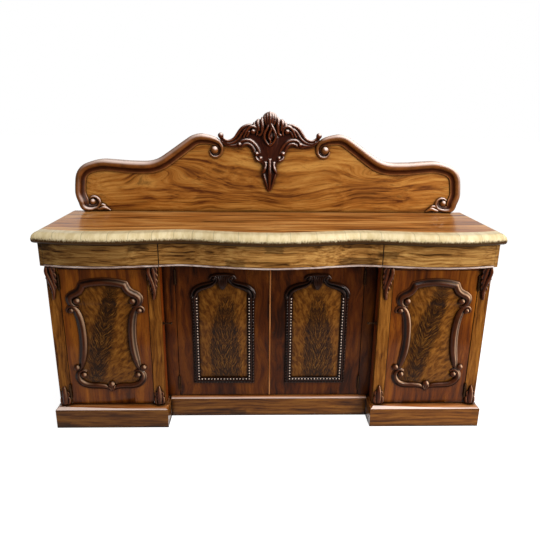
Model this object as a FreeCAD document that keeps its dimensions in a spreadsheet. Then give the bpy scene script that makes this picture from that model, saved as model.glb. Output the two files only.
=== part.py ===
"""Serpentine-fronted mahogany sideboard, or chiffonier, as a parametric assembly.

Two pedestal cupboards and a recessed middle cupboard stand on plinths and carry a frieze of three
drawers, a moulded top and a shaped gallery back with scroll mouldings and a carved crest.
Frame: millimetres, +Z up, +X to the right of someone who faces the front, front towards -Y,
origin on the floor under the middle of the overall width and depth.
"""
import FreeCAD, Part
import math
import os
import re
import Sketcher

Vector = FreeCAD.Vector
FORWARD = Vector(0, -1, 0)
SIDE_USED = 0.98
LEAST_REACH = 0.01
SIDES = {"left": -1, "right": 1}
# Turns that keep the seam of a knob's ball away from the bolt's shank
KNOB_TURNS = {"left": 0, "right": 180}

# Driving sizes in millimetres (angles in degrees): alias, value, what it is
SIZES = [
    ("overall_width", 2040, "lip to lip of the top"),
    ("overall_depth", 564, "front of the middle bulge to the back of the mending plates"),
    ("overall_height", 1447, "floor to the top of the crest"),
    ("top_height", 950, "floor to the upper surface of the top"),
    ("top_thickness", 48, "thickness of the moulded top board"),
    ("centre_bulge", 58, "how far the middle of the lip stands in front of its corners"),
    ("centre_radius", 931, "radius of the middle bulge"),
    ("flank_angle", 11.7, "slope of the front on each side of the middle bulge"),
    ("trough_inset", 104, "hollow of the front, measured inwards from the pedestal"),
    ("trough_radius", 291, "radius of the hollow"),
    ("rise_angle", 8.9, "slope of the front between hollow and side bulge"),
    ("side_inset", 225, "crown of the side bulge, measured inwards from the corner"),
    ("side_radius", 869, "radius of the side bulge"),
    ("frieze_setback", 23, "drawer fronts behind the lip of the top"),
    ("frieze_step", 20, "frieze ends inside the lip of the top"),
    ("split_inset", 6.5, "joint between two drawers, inwards from the pedestal"),
    ("frieze_height", 105, "underside of the top down to the underside of the cock bead"),
    ("frieze_board", 18, "thickness of the frieze ends, dividers and back"),
    ("bead_height", 8, "height of the cock bead under the drawers"),
    ("bead_stand", 3, "cock bead proud of the drawer fronts"),
    ("bead_depth", 14, "depth of the cock bead"),
    ("drawer_gap", 1.5, "gap round each drawer front"),
    ("drawer_front_least", 19, "thinnest place of a drawer front"),
    ("drawer_side_board", 11, "thickness of the drawer sides and back"),
    ("drawer_bottom_board", 7, "thickness of the drawer bottoms"),
    ("drawer_side_gap", 1, "running gap at the side of a drawer box"),
    ("drawer_head_gap", 8, "drawer sides below the underside of the top"),
    ("drawer_run_gap", 0.3, "running gap under a drawer box"),
    ("drawer_tail_gap", 12, "gap behind a closed drawer box"),
    ("pedestal_step", 10, "pedestal sides inside the frieze ends"),
    ("pedestal_width", 495, "outside width of one pedestal"),
    ("side_board", 20, "thickness of the pedestal sides"),
    ("inner_board", 16, "thickness of the carcass tops and bottoms"),
    ("shelf_board", 16, "thickness of the shelves"),
    ("back_board", 8, "thickness of the carcass backs"),
    ("shelf_height", 430, "floor to the underside of the shelves"),
    ("shelf_setback", 54, "shelf front behind the back of its door"),
    ("shut_gap", 0.5, "gap between a shut door or drawer and the boards behind it"),
    ("bearer_section", 20, "side of the square shelf bearers"),
    ("plinth_height", 104, "floor to the top of the plinth moulding"),
    ("plinth_cap", 10, "height of the chamfered plinth moulding"),
    ("plinth_chamfer", 16, "depth of the chamfer along the front of the plinth"),
    ("plinth_board", 22, "thickness of the plinth boards"),
    ("plinth_setback", 1, "pedestal plinth front behind the corners of the top"),
    ("plinth_side_step", 15, "plinth beyond the pedestal at each side"),
    ("plinth_cap_width", 52, "width of the plinth moulding under the pedestal sides"),
    ("pedestal_ledge", 37, "pedestal front behind its plinth front"),
    ("centre_recess", 80, "middle cupboard behind the pedestal fronts"),
    ("centre_ledge", 17, "middle cupboard front behind its plinth front"),
    ("pilaster_width", 53, "width of the pilasters beside the pedestal doors"),
    ("pilaster_board", 24, "thickness of the pilasters and stiles"),
    ("filler_width", 56, "width of the stiles beside the middle doors"),
    ("rail_height", 20, "height of the rail over the doors"),
    ("truss_width", 44, "width of the carved trusses and feet"),
    ("truss_height", 157, "height of the carved trusses"),
    ("truss_head", 34, "height of the upright head of a truss"),
    ("truss_stand", 29, "how far the head of a truss stands out"),
    ("truss_waist_stand", 12, "how far the waist of a truss stands out"),
    ("truss_waist_up", 72, "waist of a truss above its tip"),
    ("truss_belly_stand", 15, "how far the belly of a truss stands out"),
    ("truss_belly_up", 40, "belly of a truss above its tip"),
    ("truss_tip_stand", 7, "how far the tip of a truss stands out"),
    ("truss_tip_up", 6, "height of the tip of a truss"),
    ("foot_height", 101, "height of the carved feet"),
    ("foot_stand", 19, "how far the carved feet stand out"),
    ("foot_block", 42, "height of the upright part of a foot"),
    ("foot_tip_stand", 7, "how far the tip of a foot stands out"),
    ("foot_tip_up", 91, "tip of a foot above the plinth"),
    ("door_board", 22, "thickness of the doors"),
    ("door_setback", 2, "door face behind the pilaster face"),
    ("door_gap", 2.6, "gap round the doors"),
    ("hinge_gap", 2.6, "gap at the hinge edge, filled by the two leaves"),
    ("panel_board", 12, "thickness of the door panels"),
    ("panel_sink", 3, "panel face behind the door face"),
    ("outer_stile", 89, "width of the stiles of the pedestal doors"),
    ("outer_foot_rail", 90, "height of the bottom rail of the pedestal doors"),
    ("outer_head_rail", 73, "height of the top rail of the pedestal doors"),
    ("centre_stile", 99, "width of the stiles of the middle doors"),
    ("centre_foot_rail", 88, "height of the bottom rail of the middle doors"),
    ("centre_head_rail", 104, "height of the top rail of the middle doors"),
    ("meeting_bead", 7, "width of the bead where the middle doors meet"),
    ("meeting_gap", 1.5, "gap beside the meeting bead"),
    ("moulding_width", 26, "width of the scroll mouldings on the doors"),
    ("moulding_stand", 16, "how far the door mouldings stand out"),
    ("moulding_edge", 7, "height of the edges of the door mouldings"),
    ("moulding_crown", 12, "width of the crown of the door mouldings"),
    ("arch_width", 30, "width of the arched mouldings on the middle doors"),
    ("bow_waist_inset", 79, "waist of the bowed scrolls in from the door's edge"),
    ("hinge_length", 70, "length of a hinge"),
    ("hinge_low", 140, "floor to the underside of the lower hinges"),
    ("hinge_high", 680, "floor to the underside of the upper hinges"),
    ("leaf_thickness", 1.1, "thickness of a hinge leaf"),
    ("leaf_reach", 18, "how far a leaf reaches into the gap"),
    ("knuckle_radius", 4, "outside radius of a hinge knuckle"),
    ("knuckle_stand", 4.4, "hinge axis in front of the pilaster face"),
    ("knuckle_gap", 0.4, "gap between the knuckles"),
    ("pin_radius", 2, "radius of a hinge pin"),
    ("pin_clearance", 0.05, "running clearance of pins, bolts and bushes"),
    ("pin_head_radius", 3, "radius of the head on a hinge pin"),
    ("pin_head", 2, "height of the head on a hinge pin"),
    ("bolt_height", 505, "floor to the side bolts"),
    ("bolt_inset", 13, "side bolts behind the backs of the pedestal doors"),
    ("bolt_radius", 3.2, "radius of a side bolt"),
    ("bolt_knob", 6, "radius of the knob on a side bolt"),
    ("bolt_stand", 37, "middle of the knob out from the pedestal when drawn back"),
    ("bolt_tail", 33, "length of the bolt inside the pedestal when drawn back"),
    ("bush_radius", 7, "radius of a bolt bush"),
    ("bush_flange_radius", 10, "radius of the flange on a bolt bush"),
    ("bush_flange", 2, "thickness of the flange on a bolt bush"),
    ("keeper_height", 20, "height of the keepers for the bolts"),
    ("keeper_length", 10, "length of the keepers for the bolts"),
    ("keeper_inset", 1.5, "keeper in from the free edge of its door"),
    ("keeper_depth", 22, "how far a side bolt's keeper stands behind its door"),
    ("keeper_clearance", 0.8, "room round a bolt in its keeper"),
    ("lock_height", 437, "floor to the middle of the lock"),
    ("lock_length", 52, "length of the lock case"),
    ("lock_case", 60, "height of the lock case"),
    ("lock_depth", 12, "depth of the lock case"),
    ("lock_bolt_height", 16, "height of the lock bolt"),
    ("lock_bolt_depth", 5, "thickness of the lock bolt"),
    ("lock_bolt_length", 30, "length of the lock bolt"),
    ("lock_edge", 5, "lock case in from the meeting line"),
    ("lock_wall", 8, "closed end of the lock case"),
    ("keyhole_inset", 17, "keyhole from the meeting line"),
    ("keyhole_radius", 4, "radius of the keyhole plate"),
    ("keyhole_plate", 1, "thickness of the keyhole plate"),
    ("gallery_board", 22, "thickness of the gallery back"),
    ("gallery_inset", 69, "outermost bend of the gallery inside the lip of the top"),
    ("gallery_foot_inset", 78, "foot of the gallery inside the lip of the top"),
    ("gallery_band", 50, "width of the gallery mouldings"),
    ("gallery_stand", 26, "gallery mouldings in front of the gallery back"),
    ("gallery_edge", 5, "rounding of the gallery mouldings"),
    ("gallery_cove", 11, "how far the cove of the gallery mouldings stands out"),
    ("gallery_seat", 0.3, "fitting gap between moulding and gallery back"),
    ("volute_stand", 18, "volutes in front of the gallery back"),
    ("eye_radius", 15, "radius of the balls in the volutes"),
    ("crest_stand", 30, "crest in front of the gallery back"),
    ("plate_thickness", 3, "thickness of the mending plates"),
    ("plate_width", 40, "width of the mending plates"),
    ("plate_length", 150, "length of the mending plates"),
    ("plate_spacing", 700, "distance between the mending plates"),
    ("screw_radius", 2.5, "radius of the plate screws"),
    ("screw_head_radius", 4.5, "radius of the countersunk screw heads"),
    ("screw_length", 18, "length of the plate screws"),
    ("screw_inset", 16, "screws from the end of a plate"),
    ("screw_spacing", 30, "distance between the two screws at an end"),
]

# Sections of the top's moulded edge: stem, drawn in from the lip, measured from, distance
TOP_EDGE = [
    ("edge_under", 10, "foot", 0),
    ("edge_low", 2.5, "foot", 5),
    ("edge_nose", 0, "foot", 12),
    ("edge_high", 0, "head", 28),
    ("edge_round", 2.5, "head", 19),
    ("edge_shoulder", 6, "head", 12),
    ("edge_slope", 14, "head", 4),
    ("edge_top", 24, "head", 0),
]

# Corners of curved pieces. Each row: stem, whether it is measured from the edge or the middle of
# what it belongs to, that distance, whether from its head or its foot, that distance, and the
# radius of the bend there. The rows of the balls and volutes end with their own radius.
GALLERY_LINE = [
    ("scroll_tail", "edge", 687, "foot", 286, 0),
    ("scroll_turn", "edge", 717, "foot", 352, 41),
    ("scroll_crown", "edge", 590, "foot", 366, 180),
    ("sweep_low", "edge", 390, "foot", 228, 298),
    ("shoulder_low", "edge", 259, "foot", 230, 365),
    ("shoulder_high", "edge", 116, "foot", 240, 170),
    ("shoulder_end", "edge", 14, "foot", 208, 91),
    ("side_bend", "edge", 0, "foot", 90, 114),
    ("side_tail", "edge", 28, "foot", 41, 0),
]
GALLERY_VOLUTES = [
    ("upper_volute", "edge", 681, "foot", 313, 36),
    ("lower_volute", "edge", 58, "foot", 47, 38),
]
CREST_LINE = [
    ("crown_top", "middle", 30, "head", 0, 20),
    ("crown_side", "middle", 38, "head", 27, 10),
    ("crown_notch", "middle", 44, "head", 38, 4),
    ("lobe_top", "middle", 74, "head", 40, 14),
    ("lobe_notch", "middle", 90, "head", 56, 6),
    ("wing_top", "middle", 128, "head", 62, 34),
    ("wing_slope", "middle", 168, "head", 112, 24),
    ("tail_dip", "middle", 205, "head", 138, 24),
    ("tail_rise", "middle", 240, "head", 110, 8),
    ("tail_end", "middle", 226, "head", 132, 5),
    ("under_tail", "middle", 190, "head", 146, 14),
    ("under_ball", "middle", 150, "head", 170, 12),
    ("under_arch", "middle", 104, "head", 144, 22),
    ("waist_out", "middle", 84, "head", 190, 14),
    ("waist_low", "middle", 80, "head", 216, 12),
    ("scroll_foot", "middle", 46, "head", 240, 8),
    ("drop_neck", "middle", 30, "head", 268, 10),
    ("drop_ear", "middle", 39, "head", 298, 6),
    ("drop_point", "middle", 6, "head", 396, 4),
]
CREST_BALLS = [
    ("crest_ball", "middle", 88, "head", 96, 14),
    ("waist_ball", "middle", 72, "head", 204, 11),
    ("under_ball_drop", "middle", 150, "head", 160, 9),
]
SCROLL_HEAD = [
    ("head_curl", "edge", 46, "head", 168, 0),
    ("head_hip", "edge", 26, "head", 144, 20),
    ("head_shoulder", "edge", 42, "head", 119, 22),
    ("head_neck", "edge", 92, "head", 102, 30),
    ("head_ear", "edge", 99, "head", 72, 16),
    ("head_peak", "middle", 0, "head", 52, 260),
]
SCROLL_BOW = [
    ("bow_top", "edge", 54, "head", 184, 0),
    ("bow_bottom", "edge", 54, "foot", 193, 0),
]
SCROLL_FOOT = [
    ("curl_end", "edge", 64, "foot", 165, 0),
    ("curl_side", "edge", 32, "foot", 161, 16),
    ("curl_corner", "edge", 34, "foot", 107, 30),
    ("curl_run", "edge", 108, "foot", 83, 60),
    ("curl_middle", "middle", 0, "foot", 77, 300),
]
SCROLL_BALLS = [
    ("head_ball", "edge", 68, "head", 147, 14),
    ("bow_high_ball", "edge", 40, "head", 192, 14),
    ("bow_low_ball", "edge", 40, "foot", 197, 14),
    ("curl_ball", "edge", 70, "foot", 153, 14),
    ("middle_ball", "middle", 0, "foot", 105, 14),
]
ARCH_LINE = [
    ("arch_tip", "middle", 26, "head", 62, 0),
    ("arch_dip", "middle", 48, "head", 86, 22),
    ("arch_shoulder", "edge", 98, "head", 94, 34),
    ("arch_hip", "edge", 83, "head", 154, 60),
    ("arch_foot", "edge", 85, "foot", 80, 16),
]
ARCH_KEY = [
    ("key_top", "middle", 20, "head", 42, 0),
    ("key_waist", "middle", 15, "head", 84, 0),
    ("key_point", "middle", 0, "head", 114, 0),
]
ARCH_BALLS = [
    ("arch_ball", "middle", 34, "head", 60, 12),
]
LINES = [GALLERY_LINE, GALLERY_VOLUTES, CREST_LINE, CREST_BALLS, SCROLL_HEAD, SCROLL_BOW,
         SCROLL_FOOT, SCROLL_BALLS, ARCH_LINE, ARCH_KEY, ARCH_BALLS]

# Places worked out from the sizes: name and expression
PLACES = {
    "half_width": "overall_width / 2",
    "front_y": "-overall_depth / 2",
    "corner_y": "front_y + centre_bulge",
    "back_y": "overall_depth / 2 - plate_thickness",
    "top_under": "top_height - top_thickness",
    "frieze_under": "top_under - frieze_height",
    "drawer_under": "frieze_under + bead_height",
    "frieze_out": "half_width - frieze_step",
    "frieze_in": "frieze_out - frieze_board",
    "trough_x": "pedestal_in - trough_inset",
    "trough_behind": "trough_x * tan(flank_angle) - centre_bulge"
                     " - centre_radius * (1 / cos(flank_angle) - 1)",
    "drawer_back_face": "corner_y + frieze_setback + max(0; trough_behind) + drawer_front_least",
    "frieze_back_y": "back_y - frieze_board",
    "pedestal_out": "frieze_out - pedestal_step",
    "pedestal_in": "pedestal_out - pedestal_width",
    "drawer_split": "pedestal_in - split_inset",
    "divider_in": "drawer_split - frieze_board / 2",
    "divider_out": "drawer_split + frieze_board / 2",
    "bead_under": "frieze_under + drawer_run_gap",
    "plinth_out": "pedestal_out + plinth_side_step",
    "plinth_in": "pedestal_in - plinth_side_step",
    "plinth_front": "corner_y + plinth_setback",
    "plinth_shoulder": "plinth_height - plinth_cap",
    "pedestal_y": "plinth_front + pedestal_ledge",
    "centre_y": "pedestal_y + centre_recess",
    "centre_plinth_y": "centre_y - centre_ledge",
    "carcass_floor": "plinth_height + inner_board",
    "carcass_head": "frieze_under - inner_board",
    "panel_back_y": "back_y - back_board",
    "door_low": "plinth_height + door_gap",
    "rail_under": "frieze_under - rail_height",
    "door_high": "rail_under - door_gap",
    "pilaster_in": "pedestal_in + pilaster_width",
    "pilaster_out": "pedestal_out - pilaster_width",
    "filler_in": "pedestal_in - filler_width",
    "outer_door_y": "pedestal_y + door_setback",
    "outer_door_back": "outer_door_y + door_board",
    "centre_door_y": "centre_y + door_setback",
    "centre_door_back": "centre_door_y + door_board",
    "stile_back": "pedestal_y + pilaster_board",
    "filler_back": "centre_y + pilaster_board",
    "outer_door_near": "pilaster_in + door_gap",
    "outer_door_far": "pilaster_out - hinge_gap",
    "centre_door_far": "filler_in - hinge_gap",
    "centre_door_edge": "meeting_bead / 2 + meeting_gap",
    "lock_bolt_front": "centre_door_back + lock_depth / 2 - lock_bolt_depth / 2",
    "lock_bolt_rear": "centre_door_back + lock_depth / 2 + lock_bolt_depth / 2",
    "lock_bolt_low": "lock_height - lock_bolt_height / 2",
    "lock_bolt_high": "lock_height + lock_bolt_height / 2",
    "bolt_y": "outer_door_back + bolt_inset",
    "gallery_y": "back_y - gallery_board",
    "gallery_bend": "half_width - gallery_inset",
    "plate_low": "top_height - plate_length / 2",
}

WORD = re.compile(r"[a-z][a-z0-9_]*")
FUNCTIONS = ("cos", "max", "tan")

document = FreeCAD.newDocument("chiffonier")
sheet = document.addObject("Spreadsheet::Sheet", "Sizes")
nodes = []


def fill_sheet():
    """Write every driving size into the sheet and give its cell the size's name."""
    rows = list(SIZES)
    for stem, inset, anchor, along in TOP_EDGE:
        rows.append((stem + "_in", inset, "edge of the top, drawn in from the lip"))
        rows.append((stem + "_along", along, "edge of the top, distance from its " + anchor))
    for line in LINES:
        for stem, side_anchor, across, end_anchor, along, bend in line:
            rows.append((stem + "_across", across, "distance from the " + side_anchor))
            rows.append((stem + "_along", along, "distance from the " + end_anchor))
            rows.append((stem + "_bend", bend, "radius"))
    for row, (alias, value, note) in enumerate(rows, start=1):
        sheet.set("A%d" % row, note)
        sheet.set("B%d" % row, str(value))
        sheet.setAlias("B%d" % row, alias)
    document.recompute()


def bound(text):
    """The expression with its sizes as cells of the sheet and its places worked out."""
    def swap(match):
        word = match.group(0)
        if word in FUNCTIONS:
            return word
        if word in PLACES:
            return "(" + bound(PLACES[word]) + ")"
        return "Sizes." + word
    return WORD.sub(swap, text)


def number(text):
    """The value of an expression in millimetres."""
    result = sheet.evalExpression(bound(text))
    return float(getattr(result, "Value", result))


def keep(piece, name):
    """Make a piece a node of the assembly."""
    piece.Label = name
    nodes.append(piece)
    return piece


def board(name, across, along, up):
    """A plain board between two places on each axis."""
    piece = document.addObject("Part::Box", name)
    sides = (("x", "Length", across), ("y", "Width", along), ("z", "Height", up))
    for axis, side, (low, high) in sides:
        piece.setExpression(side, bound("(%s) - (%s)" % (high, low)))
        piece.setExpression("Placement.Base." + axis, bound(low))
    return piece


def span(side, near, far):
    """Two places across the front, given as distances from the middle on one side of it."""
    if side == "right":
        return near, far
    return "-(%s)" % far, "-(%s)" % near


def out(side, distance):
    """One place across the front, given as a distance from the middle on one side of it."""
    return distance if side == "right" else "-(%s)" % distance


def rod(name, axis, radius, length, start):
    """A round rod that runs from its start along an axis, or against it for a negative axis."""
    piece = document.addObject("Part::Cylinder", name)
    turns = {"x": (Vector(0, 1, 0), 90), "-x": (Vector(0, 1, 0), -90), "z": (Vector(0, 0, 1), 0),
             "y": (Vector(1, 0, 0), -90), "-y": (Vector(1, 0, 0), 90)}
    piece.Placement.Rotation = FreeCAD.Rotation(*turns[axis])
    piece.setExpression("Radius", bound(radius))
    piece.setExpression("Height", bound(length))
    for letter, place in zip("xyz", start):
        piece.setExpression("Placement.Base." + letter, bound(place))
    return piece


def outward(side):
    """The axis that points away from the middle on one side."""
    return "x" if side == "right" else "-x"


def joined(name, pieces):
    """One solid made of overlapping pieces."""
    piece = document.addObject("Part::MultiFuse", name)
    piece.Shapes = pieces
    return piece


def cut(name, base, tool):
    """A piece with another taken out of it."""
    piece = document.addObject("Part::Cut", name)
    piece.Base = base
    piece.Tool = tool
    return piece


def shared(name, base, tool):
    """What two pieces have in common."""
    piece = document.addObject("Part::Common", name)
    piece.Base = base
    piece.Tool = tool
    return piece


def group(name, pieces):
    """Several separate pieces kept together in one node."""
    piece = document.addObject("Part::Compound", name)
    piece.Links = pieces
    return keep(piece, name)


def shaped(name, shape):
    """A piece whose shape is worked out from curves."""
    piece = document.addObject("Part::Feature", name)
    piece.Shape = shape
    return piece


def outline_sketch(body, plane, corners):
    """A closed sketch of straight sides whose corners are bound to the sheet."""
    sketch = body.newObject("Sketcher::SketchObject", body.Name + "_outline")
    origin = [item for item in body.Origin.OriginFeatures if item.Role == plane][0]
    sketch.AttachmentSupport = [(origin, "")]
    sketch.MapMode = "FlatFace"
    spots = [Vector(number(across), number(up), 0) for across, up in corners]
    count = len(spots)
    for index in range(count):
        sketch.addGeometry(Part.LineSegment(spots[index], spots[(index + 1) % count]), False)
    for index in range(count):
        follower = (index + 1) % count
        sketch.addConstraint(Sketcher.Constraint("Coincident", index, 2, follower, 1))
        for kind, axis_line, place in (("DistanceX", -2, 0), ("DistanceY", -1, 1)):
            text = corners[index][place]
            if text == "0":
                sketch.addConstraint(Sketcher.Constraint("PointOnObject", index, 1, axis_line))
                continue
            value = spots[index][place]
            constraint = Sketcher.Constraint(kind, -1, 1, index, 1, value)
            row = sketch.addConstraint(constraint)
            sketch.setExpression("Constraints[%d]" % row, bound(text))
    return sketch


def padded_body(name, corners, length, place):
    """A body padded to the right from an outline whose first measure runs forwards."""
    body = document.addObject("PartDesign::Body", name)
    sketch = outline_sketch(body, "XZ_Plane", corners)
    pad = body.newObject("PartDesign::Pad", name + "_pad")
    pad.Profile = sketch
    pad.Reversed = True
    pad.setExpression("Length", bound(length))
    sketch.Visibility = False
    body.Placement.Rotation = FreeCAD.Rotation(Vector(0, 0, 1), -90)
    for letter, text in zip("xyz", place):
        body.setExpression("Placement.Base." + letter, bound(text))
    return body


def bend_edges(corners, closed):
    """Lines and tangent arcs through corners, each (point, radius). Two bends that need more
    than the side between them share it."""
    count = len(corners)
    halves = []
    reaches = []
    for index, (point, radius) in enumerate(corners):
        bends = radius > 0 and (closed or 0 < index < count - 1)
        before = corners[index - 1][0] - point
        after = corners[(index + 1) % count][0] - point
        half = before.getAngle(after) / 2
        halves.append(half)
        reaches.append(radius / math.tan(half) if bends else 0)
    shares = [1] * count
    for index in range(count if closed else count - 1):
        follower = (index + 1) % count
        room = SIDE_USED * corners[index][0].distanceToPoint(corners[follower][0])
        wanted = reaches[index] + reaches[follower]
        if wanted > room:
            shares[index] = min(shares[index], room / wanted)
            shares[follower] = min(shares[follower], room / wanted)
    ends = []
    for index, (point, radius) in enumerate(corners):
        reach = reaches[index] * shares[index]
        if reach < LEAST_REACH:
            ends.append((point, None, point))
            continue
        before = corners[index - 1][0] - point
        after = corners[(index + 1) % count][0] - point
        before.normalize()
        after.normalize()
        rounding = reach * math.tan(halves[index])
        middle = before + after
        middle.normalize()
        centre = point + middle * (rounding / math.sin(halves[index]))
        ends.append((point + before * reach, centre - middle * rounding, point + after * reach))
    edges = []
    for index in range(count):
        start, top, finish = ends[index]
        if top is not None:
            edges.append(Part.Arc(start, top, finish).toShape())
        if index < count - 1 or closed:
            following = ends[(index + 1) % count][0]
            edges.append(Part.LineSegment(finish, following).toShape())
    return edges


def placed(rows, half, foot, head, base_y):
    """Corners of one half of a curved piece as (point, radius), from its rows."""
    corners = []
    for stem, side_anchor, _across, end_anchor, _along, _bend in rows:
        across = number(stem + "_across")
        along = number(stem + "_along")
        if side_anchor == "edge":
            across = half - across
        height = head - along if end_anchor == "head" else foot + along
        corners.append((Vector(across, base_y, height), number(stem + "_bend")))
    return corners


def flipped(corners):
    """The same corners on the other side of the middle, in the opposite order."""
    return [(Vector(-point.x, point.y, point.z), bend) for point, bend in reversed(corners)]


def balanced(corners):
    """Corners of a whole line from those of its right half, which ends in the middle."""
    return corners + flipped(corners[:-1])


def shifted(shape, across):
    """A shape moved to where its middle belongs."""
    return shape.translated(Vector(across, 0, 0))


def serpentine(setback, half, height):
    """The front line of the top from left to right, moved back and ended at half its width."""
    side_x = number("half_width - side_inset")
    trough_x = number("trough_x")
    trough = number("trough_behind")
    apex = trough - number("trough_x * tan(flank_angle)")
    crown = trough - number("(half_width - side_inset - trough_x) * tan(rise_angle)")
    slope = -crown / number("side_inset")
    finish = crown + slope * (half - side_x)
    right = [(trough_x, trough, number("trough_radius")), (side_x, crown, number("side_radius")),
             (half, finish, 0)]
    left = [(-across, forward, bend) for across, forward, bend in reversed(right)]
    base = number("corner_y") + setback
    line = left + [(0, apex, number("centre_radius"))] + right
    return [(Vector(across, base + forward, height), bend) for across, forward, bend in line]


def serpentine_wire(setback, half, back_y, height):
    """The serpentine line closed by two straight sides and a straight back."""
    line = serpentine(setback, half, height)
    edges = bend_edges(line, False)
    first = line[0][0]
    last = line[-1][0]
    right_back = Vector(last.x, back_y, height)
    left_back = Vector(first.x, back_y, height)
    edges.append(Part.LineSegment(last, right_back).toShape())
    edges.append(Part.LineSegment(right_back, left_back).toShape())
    edges.append(Part.LineSegment(left_back, first).toShape())
    return Part.Wire(edges)


def serpentine_prism(setback, half, back_y, low, high):
    """An upright block with the serpentine line as its front and a straight back."""
    face = Part.Face(serpentine_wire(setback, half, back_y, low))
    return face.extrude(Vector(0, 0, high - low))


def moulded_top():
    """The top board: sections of the serpentine outline, each drawn in by the moulding."""
    half = number("half_width")
    wires = []
    for stem, _inset, anchor, _along in TOP_EDGE:
        draw = number(stem + "_in")
        height = number("top_under + %s_along" % stem)
        if anchor == "head":
            height = number("top_height - %s_along" % stem)
        wires.append(serpentine_wire(draw, half - draw, number("back_y"), height))
    return Part.makeLoft(wires, True, True)


def swept(edges, profile):
    """A moulding along an upright line. The profile's corners are (to the left of the way the
    line runs, forward of the line)."""
    first = edges[0]
    start = first.valueAt(first.FirstParameter)
    sideways = FORWARD.cross(first.tangentAt(first.FirstParameter))
    spots = [start + sideways * aside + FORWARD * stand for aside, stand in profile]
    spots.append(spots[0])
    return Part.Wire(edges).makePipeShell([Part.makePolygon(spots)], True, False)


def dome(spot, radius):
    """A half ball that stands on an upright face."""
    return Part.makeSphere(radius, spot, FORWARD, 0, 90, 360)


def mirrored(shape):
    """The same shape on the other side of the middle."""
    return shape.mirror(Vector(0, 0, 0), Vector(1, 0, 0))


fill_sheet()


# ---- plinths -----------------------------------------------------------------------------------
def plinth(side):
    """Four butted boards under one pedestal."""
    name = "plinth_" + side
    up = ("0", "plinth_shoulder")
    within = ("plinth_front + plinth_board", "back_y")
    inside = span(side, "plinth_in + plinth_board", "plinth_out - plinth_board")
    group(name, [
        board(name + "_front", span(side, "plinth_in", "plinth_out"),
              ("plinth_front", "plinth_front + plinth_board"), up),
        board(name + "_outer", span(side, "plinth_out - plinth_board", "plinth_out"), within, up),
        board(name + "_inner", span(side, "plinth_in", "plinth_in + plinth_board"), within, up),
        board(name + "_rear", inside, ("back_y - plinth_board", "back_y"), up),
    ])


def chamfered_cap(name, across, along, draw_in, draw_back):
    """A plinth moulding: a slab whose top is drawn in at its ends and drawn back at its front."""
    piece = document.addObject("Part::Wedge", name)
    piece.Placement.Rotation = FreeCAD.Rotation(Vector(1, 0, 0), 90)
    low_x, high_x = across
    low_y, high_y = along
    cells = {"Xmin": low_x, "Xmax": high_x, "X2min": "%s + %s" % (low_x, draw_in[0]),
             "X2max": "%s - %s" % (high_x, draw_in[1]), "Ymin": "0", "Ymax": "plinth_cap",
             "Zmin": "-(%s)" % high_y, "Zmax": "-(%s)" % low_y,
             "Z2min": "-(%s)" % high_y, "Z2max": "-(%s + %s)" % (low_y, draw_back)}
    for cell, text in cells.items():
        piece.setExpression(cell, bound(text))
    piece.setExpression("Placement.Base.z", bound("plinth_shoulder"))
    return piece


def plinth_mouldings():
    """Chamfered mouldings on top of the plinth boards, which the carcasses stand on."""
    pieces = []
    step = "plinth_side_step"
    front_back = "plinth_front + plinth_cap_width"
    for side in SIDES:
        name = "plinth_cap_" + side
        pieces.append(chamfered_cap(name + "_front", span(side, "plinth_in", "plinth_out"),
                                    ("plinth_front", front_back), (step, step), "plinth_chamfer"))
        outer_draw = ("0", step) if side == "right" else (step, "0")
        inner_draw = (step, "0") if side == "right" else ("0", step)
        pieces.append(chamfered_cap(name + "_outer",
                                    span(side, "plinth_out - plinth_cap_width", "plinth_out"),
                                    (front_back, "back_y"), outer_draw, "0"))
        pieces.append(chamfered_cap(name + "_inner",
                                    span(side, "plinth_in", "plinth_in + plinth_cap_width"),
                                    (front_back, "back_y"), inner_draw, "0"))
    pieces.append(chamfered_cap("plinth_cap_centre", ("-(plinth_in)", "plinth_in"),
                                ("centre_plinth_y", "centre_plinth_y + plinth_cap_width"),
                                ("0", "0"), "plinth_chamfer"))
    group("plinth_mouldings", pieces)


for side_name in SIDES:
    plinth(side_name)
group("plinth_centre", [
    board("plinth_centre_front", ("-(plinth_in)", "plinth_in"),
          ("centre_plinth_y", "centre_plinth_y + plinth_board"), ("0", "plinth_shoulder")),
    board("plinth_centre_rear", ("-(plinth_in)", "plinth_in"),
          ("back_y - plinth_board", "back_y"), ("0", "plinth_height")),
])
plinth_mouldings()


# ---- carcass -----------------------------------------------------------------------------------
def side_boards():
    """Upright sides of the pedestals; the inner ones are bored for the side bolts."""
    outer = []
    inner = []
    up = ("plinth_height", "frieze_under")
    along = ("stile_back", "back_y")
    for side in SIDES:
        outer.append(board("outer_side_" + side,
                           span(side, "pedestal_out - side_board", "pedestal_out"), along, up))
        plain = board("inner_side_plain_" + side,
                      span(side, "pedestal_in", "pedestal_in + side_board"), along, up)
        bore = rod("inner_side_bore_" + side, outward(side), "bush_radius + pin_clearance",
                   "side_board", (out(side, "pedestal_in"), "bolt_y", "bolt_height"))
        inner.append(cut("inner_side_" + side, plain, bore))
    group("pedestal_outer_sides", outer)
    group("pedestal_inner_sides", inner)


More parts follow.
